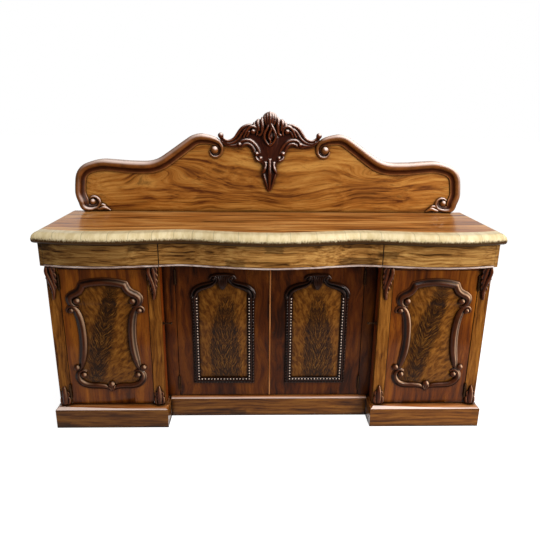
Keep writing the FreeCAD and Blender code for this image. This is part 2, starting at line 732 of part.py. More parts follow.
def carcass_boards():
    """Bottoms, tops, backs, shelves and their bearers in the three cupboards."""
    bottoms = []
    tops = []
    backs = []
    shelves = []
    bearers = []
    pedestal_bay = ("pedestal_in + side_board", "pedestal_out - side_board")
    bays = [("left", span("left", *pedestal_bay), "outer_door_back + shut_gap"),
            ("centre", ("-(pedestal_in)", "pedestal_in"), "centre_door_back + shut_gap"),
            ("right", span("right", *pedestal_bay), "outer_door_back + shut_gap")]
    for bay, across, front in bays:
        along = (front, "panel_back_y")
        low, high = across
        bottoms.append(board("bottom_" + bay, across, along, ("plinth_height", "carcass_floor")))
        tops.append(board("top_" + bay, across, along, ("carcass_head", "frieze_under")))
        backs.append(board("back_" + bay, across, ("panel_back_y", "back_y"),
                           ("plinth_height", "frieze_under")))
        shelf_along = (front + " + shelf_setback", "panel_back_y")
        shelves.append(board("shelf_" + bay, across, shelf_along,
                             ("shelf_height", "shelf_height + shelf_board")))
        bearer_up = ("shelf_height - bearer_section", "shelf_height")
        bearers.append(board("bearer_low_" + bay, (low, low + " + bearer_section"), shelf_along,
                             bearer_up))
        bearers.append(board("bearer_high_" + bay, (high + " - bearer_section", high),
                             shelf_along, bearer_up))
    group("carcass_bottoms", bottoms)
    group("carcass_tops", tops)
    group("carcass_backs", backs)
    group("shelves", shelves)
    group("shelf_bearers", bearers)


def front_posts():
    """Pilasters beside the pedestal doors, stiles beside the middle doors, rails over them."""
    posts = []
    fillers = []
    rails = []
    up = ("plinth_height", "frieze_under")
    rail_up = ("rail_under", "frieze_under")
    for side in SIDES:
        along = ("pedestal_y", "stile_back")
        posts.append(board("pilaster_in_" + side, span(side, "pedestal_in", "pilaster_in"),
                           along, up))
        posts.append(board("pilaster_out_" + side, span(side, "pilaster_out", "pedestal_out"),
                           along, up))
        fillers.append(board("filler_" + side, span(side, "filler_in", "pedestal_in"),
                             ("centre_y", "filler_back"), up))
        rails.append(board("rail_" + side, span(side, "pilaster_in", "pilaster_out"), along,
                           rail_up))
    rails.append(board("rail_centre", ("-(filler_in)", "filler_in"),
                       ("centre_y", "filler_back"), rail_up))
    group("pilasters", posts)
    group("filler_stiles", fillers)
    group("door_head_rails", rails)


def carvings():
    """Carved trusses at the heads of the pilasters and leaf feet at their bases."""
    trusses = []
    feet = []
    truss_line = [("0", "0"), ("truss_tip_stand", "truss_tip_up"),
                  ("truss_belly_stand", "truss_belly_up"),
                  ("truss_waist_stand", "truss_waist_up"),
                  ("truss_stand", "truss_height - truss_head"),
                  ("truss_stand", "truss_height"), ("0", "truss_height")]
    foot_line = [("0", "0"), ("foot_stand", "0"), ("foot_stand", "foot_block"),
                 ("foot_tip_stand", "foot_tip_up"), ("0", "foot_height")]
    for side in SIDES:
        for post, middle in (("in", "(pedestal_in + pilaster_in) / 2"),
                             ("out", "(pilaster_out + pedestal_out) / 2")):
            left_edge = out(side, middle) + " - truss_width / 2"
            name = post + "_" + side
            truss_spot = (left_edge, "pedestal_y", "frieze_under - truss_height")
            foot_spot = (left_edge, "pedestal_y", "plinth_height")
            trusses.append(padded_body("truss_" + name, truss_line, "truss_width", truss_spot))
            feet.append(padded_body("foot_" + name, foot_line, "truss_width", foot_spot))
    group("upper_trusses", trusses)
    group("leaf_feet", feet)


side_boards()
carcass_boards()
front_posts()
carvings()


# ---- frieze and drawers ------------------------------------------------------------------------
def frieze():
    """Ends that follow the serpentine front, dividers between the drawers, and a back."""
    block = shaped("frieze_block", serpentine_prism(
        number("frieze_setback"), number("frieze_out"), number("back_y"),
        number("frieze_under"), number("top_under")))
    up = ("frieze_under", "top_under")
    ends = []
    dividers = []
    for side in SIDES:
        slab = board("frieze_slab_" + side, span(side, "frieze_in", "frieze_out"),
                     ("front_y", "back_y"), up)
        ends.append(shared("frieze_end_" + side, block, slab))
        dividers.append(board("frieze_divider_" + side, span(side, "divider_in", "divider_out"),
                              ("drawer_back_face + shut_gap", "frieze_back_y"), up))
    group("frieze_ends", ends)
    group("frieze_dividers", dividers)
    keep(board("frieze_back", ("-(frieze_in)", "frieze_in"), ("frieze_back_y", "back_y"), up),
         "frieze_back")


def drawer(name, front_across, box_across, front_block, bead_block):
    """A serpentine front with a cock bead under it, and a box of sides, back and bottom."""
    up = ("drawer_under", "top_under - drawer_gap")
    front_slab = board(name + "_front_slab", front_across, ("front_y", "drawer_back_face"), up)
    keep(shared(name + "_front", front_block, front_slab), name + "_front")
    bead_slab = board(name + "_bead_slab", front_across, ("front_y", "drawer_back_face"),
                      ("bead_under", "drawer_under"))
    keep(shared(name + "_bead", bead_block, bead_slab), name + "_bead")
    low, high = box_across
    floor = "bead_under"
    head = "top_under - drawer_head_gap"
    tail = "frieze_back_y - drawer_tail_gap"
    over = "bead_under + drawer_bottom_board"
    group(name + "_box", [
        board(name + "_side_low", (low, low + " + drawer_side_board"),
              ("drawer_back_face", tail), (over, head)),
        board(name + "_side_high", (high + " - drawer_side_board", high),
              ("drawer_back_face", tail), (over, head)),
        board(name + "_tail", (low + " + drawer_side_board", high + " - drawer_side_board"),
              (tail + " - drawer_side_board", tail), (over, head)),
        board(name + "_bottom", (low, high), ("drawer_back_face", tail), (floor, over)),
    ])


def drawers():
    """Three drawers, whose fronts meet over the dividers."""
    front_block = shaped("drawer_front_block", serpentine_prism(
        number("frieze_setback"), number("frieze_out"), number("drawer_back_face"),
        number("drawer_under"), number("top_under - drawer_gap")))
    setback = number("frieze_setback - bead_stand")
    rise = (number("bead_under"), number("drawer_under"))
    outer = serpentine_prism(setback, number("frieze_out"), number("drawer_back_face"), *rise)
    inner = serpentine_prism(setback + number("bead_depth"), number("frieze_out"),
                             number("drawer_back_face"), *rise)
    bead_block = shaped("bead_block", outer.cut(inner))
    side_front = ("drawer_split + drawer_gap / 2", "frieze_in - drawer_gap / 2")
    side_box = ("divider_out + drawer_side_gap", "frieze_in - drawer_side_gap")
    centre_front = "drawer_split - drawer_gap / 2"
    centre_box = "divider_in - drawer_side_gap"
    drawer("drawer_left", span("left", *side_front), span("left", *side_box), front_block,
           bead_block)
    drawer("drawer_centre", ("-(%s)" % centre_front, centre_front),
           ("-(%s)" % centre_box, centre_box), front_block, bead_block)
    drawer("drawer_right", span("right", *side_front), span("right", *side_box), front_block,
           bead_block)


frieze()
drawers()
keep(shaped("top_board", moulded_top()), "top_board")


# ---- doors -------------------------------------------------------------------------------------
def door_boards(name, side, near, far, face, stile, foot_rail, head_rail):
    """Stiles, rails and a sunk panel."""
    back = face + " + door_board"
    along = (face, back)
    up = ("door_low", "door_high")
    inside = span(side, near + " + " + stile, far + " - " + stile)
    group(name + "_frame", [
        board(name + "_stile_near", span(side, near, near + " + " + stile), along, up),
        board(name + "_stile_far", span(side, far + " - " + stile, far), along, up),
        board(name + "_rail_low", inside, along, ("door_low", "door_low + " + foot_rail)),
        board(name + "_rail_high", inside, along, ("door_high - " + head_rail, "door_high")),
    ])
    panel_along = (face + " + panel_sink", face + " + panel_sink + panel_board")
    keep(board(name + "_panel", inside, panel_along,
               ("door_low + " + foot_rail, "door_high - " + head_rail)), name + "_panel")


def leaf_and_knuckles(name, leaf_across, face, floor, knuckles, axis_x, axis_y):
    """One hinge leaf with its share of the knuckles, bored for the pin."""
    pieces = [board(name + "_leaf", leaf_across, (face, face + " + leaf_reach"),
                    (floor, floor + " + hinge_length"))]
    cutters = []
    third = "hinge_length / 3"
    for index in knuckles:
        low = "%s + %d * %s + knuckle_gap / 2" % (floor, index, third)
        length = third + " - knuckle_gap"
        label = "%s_knuckle_%d" % (name, index)
        pieces.append(rod(label, "z", "knuckle_radius", length, (axis_x, axis_y, low)))
        pieces.append(board(label + "_web", leaf_across, (axis_y, face),
                            (low, low + " + " + length)))
        cutters.append(rod(label + "_bore", "z", "pin_radius + pin_clearance", length,
                           (axis_x, axis_y, low)))
    bores = document.addObject("Part::Compound", name + "_bores")
    bores.Links = cutters
    return cut(name, joined(name + "_solid", pieces), bores)


def hinges(name, side, far, post_face):
    """Two butt hinges in the gap at a door's outer edge; returns fixed leaves, moving leaves and
    pins."""
    post = far + " + hinge_gap"
    axis_x = out(side, far + " + hinge_gap / 2")
    axis_y = post_face + " - knuckle_stand"
    leaf_front = post_face
    fixed = []
    moving = []
    pins = []
    for index, floor in enumerate(("hinge_low", "hinge_high")):
        label = "%s_hinge_%d" % (name, index)
        fixed.append(leaf_and_knuckles(label + "_fixed",
                                       span(side, post + " - leaf_thickness", post),
                                       leaf_front, floor, (0, 2), axis_x, axis_y))
        moving.append(leaf_and_knuckles(label + "_moving",
                                        span(side, far, far + " + leaf_thickness"),
                                        leaf_front + " + door_setback", floor, (1,),
                                        axis_x, axis_y))
        shank = rod(label + "_shank", "z", "pin_radius", "hinge_length", (axis_x, axis_y, floor))
        head = rod(label + "_head", "z", "pin_head_radius", "pin_head",
                   (axis_x, axis_y, floor + " + hinge_length"))
        pins.append(joined(label + "_pin", [shank, head]))
    return fixed, moving, pins


def bolt_keeper(name, side):
    """A block on the back of a pedestal door with a slot that its side bolt slides into."""
    near = "outer_door_near + keeper_inset"
    across = span(side, near, near + " + keeper_length")
    block = board(name + "_block", across, ("outer_door_back", "outer_door_back + keeper_depth"),
                  ("bolt_height - keeper_height / 2", "bolt_height + keeper_height / 2"))
    room = "bolt_radius + keeper_clearance"
    slot = board(name + "_slot", across, ("bolt_y - (%s)" % room, "bolt_y + " + room),
                 ("bolt_height - (%s)" % room, "bolt_height + " + room))
    return cut(name, block, slot)


def lock_keeper(name):
    """A block on the back of the left middle door with a slot for the lock's bolt."""
    near = "centre_door_edge + keeper_inset"
    across = span("left", near, near + " + keeper_length")
    room = "keeper_clearance"
    block = board(name + "_block", across,
                  ("centre_door_back", "centre_door_back + lock_depth"),
                  ("lock_height - lock_case / 2", "lock_height + lock_case / 2"))
    slot = board(name + "_slot", across, ("lock_bolt_front - " + room, "lock_bolt_rear + " + room),
                 ("lock_bolt_low - " + room, "lock_bolt_high + " + room))
    return cut(name, block, slot)


def door_edges(near, far):
    """Half the width, the foot and the head of a door."""
    half = number("(%s - (%s)) / 2" % (far, near))
    return half, number("door_low"), number("door_high")


def with_balls(solid, rows, edges, base_y):
    """A moulding with the balls of these rows on both of its sides, or one in the middle."""
    for spot, radius in placed(rows, *edges, base_y):
        solid = solid.fuse(dome(spot, radius))
        if spot.x > 0:
            solid = solid.fuse(dome(Vector(-spot.x, spot.y, spot.z), radius))
    return solid


def ball_rows(*stems):
    """The rows of the balls with these stems."""
    return [row for row in SCROLL_BALLS if row[0] in stems]


def planted_profile(width):
    """Corners of a door moulding's section."""
    half = number(width + " / 2")
    crown = number("moulding_crown / 2")
    low = number("moulding_edge")
    stand = number("moulding_stand")
    return [(-half, 0), (-half, low), (-crown, stand), (crown, stand), (half, low), (half, 0)]


def scroll_moulding(base_y):
    """The planted moulding of a pedestal door: an arch with two shoulders, two bowed scrolls and
    a foot, with balls at their ends."""
    profile = planted_profile("moulding_width")
    edges = door_edges("outer_door_near", "outer_door_far")
    head = swept(bend_edges(balanced(placed(SCROLL_HEAD, *edges, base_y)), False), profile)
    foot = swept(bend_edges(balanced(placed(SCROLL_FOOT, *edges, base_y)), False), profile)
    top, bottom = [spot for spot, _radius in placed(SCROLL_BOW, *edges, base_y)]
    waist = Vector(edges[0] - number("bow_waist_inset"), base_y, (top.z + bottom.z) / 2)
    bow = swept([Part.Arc(bottom, waist, top).toShape()], profile)
    for spot, radius in placed(ball_rows("bow_high_ball", "bow_low_ball"), *edges, base_y):
        bow = bow.fuse(dome(spot, radius))
    return Part.makeCompound([
        with_balls(head, ball_rows("head_ball"), edges, base_y),
        bow, mirrored(bow),
        with_balls(foot, ball_rows("curl_ball"), edges, base_y),
        dome(*placed(ball_rows("middle_ball"), *edges, base_y)[0]),
    ])


def arched_moulding(base_y):
    """The planted frame of a middle door: straight sides and foot, an ogee head and a key."""
    edges = door_edges("meeting_bead / 2", "centre_door_far")
    right = placed(ARCH_LINE, *edges, base_y)
    line = bend_edges(flipped(right)[::-1] + right[::-1], False)
    frame = swept(line, planted_profile("arch_width"))
    key_corners = placed(ARCH_KEY, *edges, base_y)
    key_spots = [spot for spot, _radius in key_corners]
    key_spots += [spot for spot, _radius in flipped(key_corners[:-1])]
    key_face = Part.Face(Part.makePolygon(key_spots + key_spots[:1]))
    key = key_face.extrude(FORWARD * number("moulding_stand"))
    return with_balls(frame, ARCH_BALLS, edges, base_y).fuse(key)


fixed_leaves = []
hinge_pins = []
for side_name, sign in SIDES.items():
    title = "door_" + side_name
    door_boards(title, side_name, "outer_door_near", "outer_door_far", "outer_door_y",
                "outer_stile", "outer_foot_rail", "outer_head_rail")
    middle_x = sign * number("(outer_door_near + outer_door_far) / 2")
    planted = shifted(scroll_moulding(number("outer_door_y")), middle_x)
    keep(shaped(title + "_moulding", planted), title + "_moulding")
    fixed, moving, pins = hinges(title, side_name, "outer_door_far", "pedestal_y")
    fixed_leaves += fixed
    hinge_pins += pins
    group(title + "_fittings", moving + [bolt_keeper(title + "_keeper", side_name)])

for side_name, sign in SIDES.items():
    title = "door_centre_" + side_name
    near = "meeting_bead / 2" if side_name == "right" else "centre_door_edge"
    door_boards(title, side_name, near, "centre_door_far", "centre_door_y",
                "centre_stile", "centre_foot_rail", "centre_head_rail")
    middle_x = sign * number("(meeting_bead / 2 + centre_door_far) / 2")
    planted = shifted(arched_moulding(number("centre_door_y")), middle_x)
    keep(shaped(title + "_moulding", planted), title + "_moulding")
    fixed, moving, pins = hinges(title, side_name, "centre_door_far", "centre_y")
    fixed_leaves += fixed
    hinge_pins += pins
    if side_name == "left":
        moving.append(lock_keeper(title + "_keeper"))
    group(title + "_fittings", moving)
group("hinge_fixed_leaves", fixed_leaves)
group("hinge_pins", hinge_pins)
keep(board("meeting_bead", ("-(meeting_bead / 2)", "meeting_bead / 2"),
           ("centre_door_y - bead_stand", "centre_door_back"), ("door_low", "door_high")),
     "meeting_bead_strip")


# ---- lock and bolts ----------------------------------------------------------------------------
def lock():
    """A surface lock on the back of the right middle door, its keyhole plate and its bolt."""
    case = board("lock_case_block", ("lock_edge", "lock_edge + lock_length"),
                 ("centre_door_back", "centre_door_back + lock_depth"),
                 ("lock_height - lock_case / 2", "lock_height + lock_case / 2"))
    room = "pin_clearance"
    slot = board("lock_slot", ("lock_edge", "lock_edge + lock_length - lock_wall"),
                 ("lock_bolt_front - " + room, "lock_bolt_rear + " + room),
                 ("lock_bolt_low - " + room, "lock_bolt_high + " + room))
    hollow = cut("lock_case_body", case, slot)
    plate = rod("keyhole_plate", "-y", "keyhole_radius", "keyhole_plate",
                ("keyhole_inset", "centre_door_y", "lock_height"))
    group("centre_lock", [hollow, plate])
    keep(board("centre_lock_bolt", ("lock_edge", "lock_edge + lock_bolt_length"),
               ("lock_bolt_front", "lock_bolt_rear"), ("lock_bolt_low", "lock_bolt_high")),
         "centre_lock_bolt")


def side_bolt(side):
    """A round bolt with a knob, which slides through a bush in the pedestal's inner side."""
    name = "side_bolt_" + side
    knob_x = out(side, "pedestal_in - bolt_stand")
    shank = rod(name + "_shank", outward(side), "bolt_radius",
                "bolt_stand + side_board + bolt_tail", (knob_x, "bolt_y", "bolt_height"))
    knob = document.addObject("Part::Sphere", name + "_knob")
    knob.Placement.Rotation = FreeCAD.Rotation(Vector(0, 0, 1), KNOB_TURNS[side])
    knob.setExpression("Radius", bound("bolt_knob"))
    for letter, text in zip("xyz", (knob_x, "bolt_y", "bolt_height")):
        knob.setExpression("Placement.Base." + letter, bound(text))
    keep(joined(name, [shank, knob]), name)


def bushes():
    """Flanged bushes that the side bolts run in."""
    pieces = []
    for side in SIDES:
        name = "bush_" + side
        start = out(side, "pedestal_in - bush_flange")
        flange = rod(name + "_flange", outward(side), "bush_flange_radius", "bush_flange",
                     (start, "bolt_y", "bolt_height"))
        sleeve = rod(name + "_sleeve", outward(side), "bush_radius", "bush_flange + side_board",
                     (start, "bolt_y", "bolt_height"))
        bore = rod(name + "_bore", outward(side), "bolt_radius + pin_clearance",
                   "bush_flange + side_board", (start, "bolt_y", "bolt_height"))
        pieces.append(cut(name, joined(name + "_solid", [flange, sleeve]), bore))
    group("side_bolt_bushes", pieces)


lock()
for side_name in SIDES:
    side_bolt(side_name)
bushes()


# ---- gallery -----------------------------------------------------------------------------------
def gallery_line(base_y):
    """Edges of the right gallery moulding's middle line: first those of its volute, then those
    that the shaped board follows too."""
    half = number("gallery_bend")
    foot = number("top_height")
    edges = bend_edges(placed(GALLERY_LINE, half, foot, foot, base_y), False)
    return edges[:2], edges[2:]


def gallery_shape():
    """The shaped board that stands on the back of the top."""
    _volute, right = gallery_line(number("back_y"))
    start = right[0].valueAt(right[0].FirstParameter)
    finish = right[-1].valueAt(right[-1].LastParameter)
    foot = Vector(number("half_width - gallery_foot_inset"), start.y, number("top_height"))
    middle_foot = Vector(0, start.y, foot.z)
    middle_head = Vector(0, start.y, start.z)
    edges = [Part.LineSegment(middle_head, start).toShape()] + right
    edges.append(Part.LineSegment(finish, foot).toShape())
    edges.append(Part.LineSegment(foot, middle_foot).toShape())
    edges.append(Part.LineSegment(middle_foot, middle_head).toShape())
    half = Part.Face(Part.Wire(edges)).extrude(FORWARD * number("gallery_board"))
    return half.fuse(mirrored(half)).removeSplitter()


def gallery_scroll(room):
    """The right gallery moulding with its volutes and their balls, grown by some room."""
    front = number("gallery_y")
    volute, sweep = gallery_line(front)
    half = number("gallery_band / 2") + room
    stand = number("gallery_stand") + room
    edge = number("gallery_edge")
    cove = number("gallery_cove") + room
    seat = number("gallery_seat")
    face = [(-half, -room), (-half, cove), (-edge, cove), (0, stand), (half - edge, stand),
            (half, stand - edge), (half, -room)]
    band = swept(volute + sweep, face)
    behind = -number("gallery_board")
    wrap = swept(sweep, [(seat, 0), (half, 0), (half, behind), (seat, behind)])
    shape = band.fuse(wrap)
    foot = number("top_height")
    stand_out = number("volute_stand") + room
    for spot, radius in placed(GALLERY_VOLUTES, number("gallery_bend"), foot, foot, front):
        shape = shape.fuse(Part.makeCylinder(radius + room, stand_out, spot, FORWARD))
        shape = shape.fuse(dome(spot + FORWARD * stand_out, number("eye_radius") + room))
    return shape.removeSplitter()


def crest(scrolls):
    """The carved crest: a lobed plate with a hanging drop and balls, cut to clear the
    mouldings."""
    front = number("gallery_y")
    top = number("overall_height")
    right = placed(CREST_LINE, 0, 0, top, front)
    stand = number("crest_stand")
    outline = Part.Wire(bend_edges(right + flipped(right), True))
    plate = Part.Face(outline).extrude(FORWARD * stand)
    for spot, radius in placed(CREST_BALLS, 0, 0, top, front - stand):
        plate = plate.fuse(dome(spot, radius))
        plate = plate.fuse(dome(Vector(-spot.x, spot.y, spot.z), radius))
    for scroll in scrolls:
        plate = plate.cut(scroll)
    return plate


keep(shaped("gallery_back_board", gallery_shape()), "gallery_back_board")
right_scroll = gallery_scroll(0)
keep(shaped("gallery_scroll_left", mirrored(right_scroll)), "gallery_scroll_left")
keep(shaped("gallery_scroll_right", right_scroll), "gallery_scroll_right")
scroll_room = gallery_scroll(number("gallery_seat"))
keep(shaped("crest_carving", crest([scroll_room, mirrored(scroll_room)])), "crest_carving")


def mending_plates():
    """Steel plates that tie the gallery to the carcass behind, with countersunk screws."""
    plates = []
    screws = []
    for column, offset in enumerate(("-plate_spacing", "0", "plate_spacing")):
        low_x = offset + " - plate_width / 2"
        name = "plate_%d" % column
        slab = board(name + "_slab", (low_x, low_x + " + plate_width"),
                     ("back_y", "back_y + plate_thickness"),
                     ("plate_low", "plate_low + plate_length"))
        sinks = []
        for row, height in enumerate(("plate_low + screw_inset",
                                      "plate_low + screw_inset + screw_spacing",
                                      "plate_low + plate_length - screw_inset - screw_spacing",
                                      "plate_low + plate_length - screw_inset")):
            label = "%s_screw_%d" % (name, row)
            sinks.append(screw_cone(label + "_sink", offset, height, "pin_clearance"))
            shank = rod(label + "_shank", "-y", "screw_radius", "screw_length",
                        (offset, "back_y + plate_thickness", height))
            head = screw_cone(label + "_head", offset, height, "0")
            screws.append(joined(label, [shank, head]))
        tool = document.addObject("Part::Compound", name + "_sinks")
        tool.Links = sinks
        plates.append(cut(name, slab, tool))
    group("gallery_plates", plates)
    return screws


def screw_cone(name, across, height, room):
    """The cone of a countersunk head, as deep as its plate is thick."""
    piece = document.addObject("Part::Cone", name)
    piece.Placement.Rotation = FreeCAD.Rotation(Vector(1, 0, 0), -90)
    piece.setExpression("Radius1", bound("screw_radius + " + room))
    piece.setExpression("Radius2", bound("screw_head_radius + " + room))
    piece.setExpression("Height", bound("plate_thickness"))
    for letter, text in zip("xyz", (across, "back_y", height)):
        piece.setExpression("Placement.Base." + letter, bound(text))
    return piece


group("gallery_screws", mending_plates())
document.recompute()


# ---- checks and files --------------------------------------------------------------------------
def check_and_write():
    """Stop on any failed object or bad shape, then write one file for each node."""
    os.makedirs("parts", exist_ok=True)
    for item in document.Objects:
        if "Invalid" in item.State or "Error" in item.State:
            raise RuntimeError("%s did not recompute: %s" % (item.Name, item.State))
    for node in nodes:
        shape = node.Shape
        if shape.isNull() or not shape.isValid() or not shape.Solids:
            raise RuntimeError("%s has no valid solid" % node.Label)
        for solid in shape.Solids:
            if solid.Volume <= 0:
                raise RuntimeError("%s holds an inverted solid" % node.Label)
        shape.exportStep(os.path.join("parts", node.Label + ".step"))
        box = shape.BoundBox
        print("%-28s %2d solids  x %8.1f %8.1f  y %8.1f %8.1f  z %8.1f %8.1f" % (
            node.Label, len(shape.Solids), box.XMin, box.XMax, box.YMin, box.YMax, box.ZMin,
            box.ZMax))
    print("%d nodes" % len(nodes))


check_and_write()
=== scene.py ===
"""Dresses the Victorian serpentine mahogany sideboard with its carved crest, scroll mouldings,
pearl beading and French-polished veneers, over the fixed construction. Shapes are written in
millimetres, which MM turns to metres; places read from the construction are in metres."""

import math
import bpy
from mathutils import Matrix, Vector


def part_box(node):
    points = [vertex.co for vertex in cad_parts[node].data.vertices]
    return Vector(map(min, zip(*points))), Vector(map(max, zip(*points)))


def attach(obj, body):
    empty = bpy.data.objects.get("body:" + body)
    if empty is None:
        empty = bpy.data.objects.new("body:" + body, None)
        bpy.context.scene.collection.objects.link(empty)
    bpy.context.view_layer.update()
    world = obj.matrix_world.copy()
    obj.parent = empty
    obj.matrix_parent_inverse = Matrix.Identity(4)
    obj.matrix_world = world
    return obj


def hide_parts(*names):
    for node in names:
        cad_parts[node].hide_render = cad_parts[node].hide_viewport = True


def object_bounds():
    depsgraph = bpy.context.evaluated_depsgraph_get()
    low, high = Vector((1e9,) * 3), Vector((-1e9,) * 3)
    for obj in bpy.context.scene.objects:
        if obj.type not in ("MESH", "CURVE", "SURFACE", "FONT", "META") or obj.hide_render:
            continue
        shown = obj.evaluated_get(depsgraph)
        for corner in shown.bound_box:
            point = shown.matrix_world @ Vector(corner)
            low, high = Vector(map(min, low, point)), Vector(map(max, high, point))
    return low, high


bl_info = {
    "name": "Serpentine sideboard looks",
    "version": (1, 0, 0),
    "blender": (4, 5, 0),
    "location": "View3D > Sidebar > Sideboard",
    "description": "Models the carving and mouldings of a sideboard and finishes its woods",
    "category": "Object",
}

import bpy
from mathutils import Matrix, Vector

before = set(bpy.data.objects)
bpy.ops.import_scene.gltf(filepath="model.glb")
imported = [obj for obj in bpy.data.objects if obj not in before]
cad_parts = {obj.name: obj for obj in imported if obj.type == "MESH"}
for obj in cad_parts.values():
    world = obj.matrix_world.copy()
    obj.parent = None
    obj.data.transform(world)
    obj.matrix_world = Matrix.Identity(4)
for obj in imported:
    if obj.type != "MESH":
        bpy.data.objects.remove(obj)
cad_low, cad_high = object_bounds()

MM = 0.001
SIDES = {"left": -1, "right": 1}
WELD = 0.01 * MM  # corners nearer than this are one corner
SHARP = 40  # degrees by which an edge turns before it counts as sharp


# ---- places taken from the construction ---------------------------------------------------------
def middle_x(name):
    """The middle of a node's box across the front."""
    low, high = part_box(name)
    return (low.x + high.x) / 2


GALLERY_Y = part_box("gallery_back_board")[0].y
TOP_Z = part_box("top_board")[1].z
TOP_BACK_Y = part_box("top_board")[1].y
DRAWER_JOINT_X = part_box("drawer_centre_front")[1].x
PLINTH_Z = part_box("plinth_mouldings")[1].z
TRUSS_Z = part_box("upper_trusses")[0].z
PEDESTAL_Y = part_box("pilasters")[0].y
PEDESTAL_IN_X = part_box("filler_stiles")[1].x
PEDESTAL_OUT_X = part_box("pilasters")[1].x
DOOR_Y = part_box("door_right_frame")[0].y
DOOR_X = middle_x("door_right_frame")
CENTRE_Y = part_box("door_centre_right_frame")[0].y
CENTRE_X = middle_x("door_centre_right_moulding")

# ---- camera and room ----------------------------------------------------------------------------
# Place in millimetres; degrees that it looks down, turns right and rolls; lens in millimetres
CAMERA_SPOT = (-61.07, -2377.26, 1444.07)
CAMERA_DOWN = 16.984
CAMERA_TURN = 1.487
CAMERA_ROLL = 0.585
CAMERA_LENS = 34.554
SENSOR = 36.0
# Metres: the floor's size, and how far before the sideboard's middle it ends
FLOOR_SIZE = 30
FLOOR_FRONT = 1.05
# The floor lies just under the plinths, so that they don't share a face with it
FLOOR_Z = -0.5 * MM
# How white the floor shows, and how brightly the plain room lights the sideboard
FLOOR_GLOW = 0.93
ROOM_GLOW = 0.22
# Lamps: place, width and height, watts and the place each is turned to, in metres
LAMPS = {
    "sky_lamp": ((1.3, -1.4, 3.2), (2.8, 0.9), 80, (0, 0, 0.8)),
    "front_lamp": ((2.7, -3.0, 1.9), (0.8, 0.8), 88, (0.2, 0, 0.7)),
    "right_window": ((3.1, -1.9, 0.7), (0.3, 1.3), 22, (0.4, -0.1, 0.6)),
    "left_window": ((-3.1, -1.9, 0.8), (0.2, 1.3), 2, (-0.4, -0.1, 0.6)),
}

# ---- finishes -----------------------------------------------------------------------------------
CARVED = "carved_mahogany_painted_light"
TRUSSED = "carved_mahogany_truss_painted_light"
MOULDED = "gallery_moulding_painted_light"
PLANTED = "scroll_moulding_painted_light"
DARKENED = "arch_moulding_painted_shade"
PEARLED = "pearl_mahogany_painted_highlight"
DOOR_FLAME = "flame_mahogany_pedestal_panel"
CENTRE_FLAME = "flame_mahogany_middle_panel"
# Directions of the painted highlights, on faces that turn that way: up and forwards to the right,
# more to the right, and straight up and forwards
UPPER_HIGHLIGHT_SIDE = (0.3, -0.66, 0.69)
RIGHT_HIGHLIGHT_SIDE = (0.74, -0.45, 0.5)
FRONT_EDGE_HIGHLIGHT = (0.0, -0.707, 0.707)
# Woods: sRGB values of the dark veins or hollows, the ground, and the light figure or heights;
# on carved work the dark of the hollows is painted shade
SHADES = {"dark": "Dark veins and hollows", "middle": "Ground",
          "light": "Light figure and heights"}
WOODS = {
    "gallery": ("5A2C0E", "9C5F22", "C58B42", "the gallery board"),
    # The top's shades are raised above its wood's own colour: a painted reflection of the sky
    "top": ("502311", "B87232", "F4B76C", "the top"),
    "frieze": ("422508", "98662F", "CF9D57", "the drawer fronts"),
    "lip": ("CEB686", "DCC697", "EAD7AC", "the cross-grained lip"),
    # The beads' pale shades are a painted highlight on their polished rounds
    "bead": ("7C5E52", "B09688", "DCC6BA", "the worn beads"),
    "door": ("3E1A07", "693208", "955414", "the pedestal doors"),
    "centre": ("250E04", "4A2006", "6D390E", "the middle doors"),
    "post": ("381A05", "724112", "9C6426", "the posts and plinths"),
    "plume": ("1D0E03", "64380C", "8E5A20", "the flame panels"),
    "ledge": ("66330F", "9C5A26", "C28450", "the plinth's ledge"),
    "return": ("441304", "84350A", "A75417", "the inner returns"),
    "truss": ("120602", "401A0B", "844622", "the trusses and feet"),
    "carved": ("080302", "34140A", "7E4020", "the carved crest"),
    "moulding": ("1E0B06", "522812", "96602F", "the gallery mouldings"),
    "scroll": ("060201", "200C04", "5C2E14", "the door scrolls"),
    # The arched mouldings' near black is painted shade of the recess
    "arch": ("050201", "0F0502", "2E1508", "the arched mouldings"),
}
SINGLE_COLOURS = {
    # The brown that the lip turns towards its underside
    "lip_under": ("4A3118", "Worn brown lower edge of the lip"),
    "filament": ("956729", "Fine light threads of the flame panels"),
    # The next four are colours of painted highlights: ledge edge, trusses and feet, scrolls,
    # carving
    "edge_bloom": ("FBE6DA", "Rubbed front edge of the ledge"),
    "truss_bloom": ("E8AE82", "Rubbed places of trusses and feet"),
    "scroll_bloom": ("F6C49A", "Pale bloom on the door scrolls"),
    "bloom": ("F6DED2", "Pale bloom where the carving faces up"),
    # The pearls' pale colour is a painted highlight
    "pearl": ("DCC0AC", "Rubbed pearl beading"),
    "dust": ("1C0C04", "Dusty joints between the drawer fronts"),
    "pine": ("C69E6A", "Unseen softwood boards"),
    "brass": ("4A3423", "Hinges, lock and bolts"),
    "steel": ("8C8A86", "Mending plates and screws"),
}

# ---- mouldings: corners of their middle lines (across, up, radius of the bend) ------------------
GALLERY_SWEEP = [(361, 1316, 180), (561, 1178, 298), (692, 1180, 365), (835, 1190, 170),
                 (937, 1158, 91), (951, 1040, 114), (938, 1004, 0)]
# Guide point above the upper volute, from which the moulding's line leaves it
GALLERY_LEAD = (300, 1312, 0)
# The moulding's half width, and the share by which it is wider half way along
GALLERY_HALF = 25
GALLERY_SWELL = 0.22
# Volutes at its ends: the eye, and round it (degrees, reach, share of the full section)
UPPER_VOLUTE = ((273, 1261), [(-15, 22, 0.28), (-55, 26, 0.34), (-90, 30, 0.4), (-135, 32, 0.42),
                              (180, 32, 0.46), (135, 36, 0.6), (100, 40, 0.8)])
LOWER_VOLUTE = ((892, 1000), [(-30, 45, 0.92), (-60, 36, 0.75), (-95, 29, 0.52),
                              (-135, 30, 0.46), (180, 30, 0.45), (135, 26, 0.4), (90, 22, 0.35),
                              (45, 18, 0.3)])
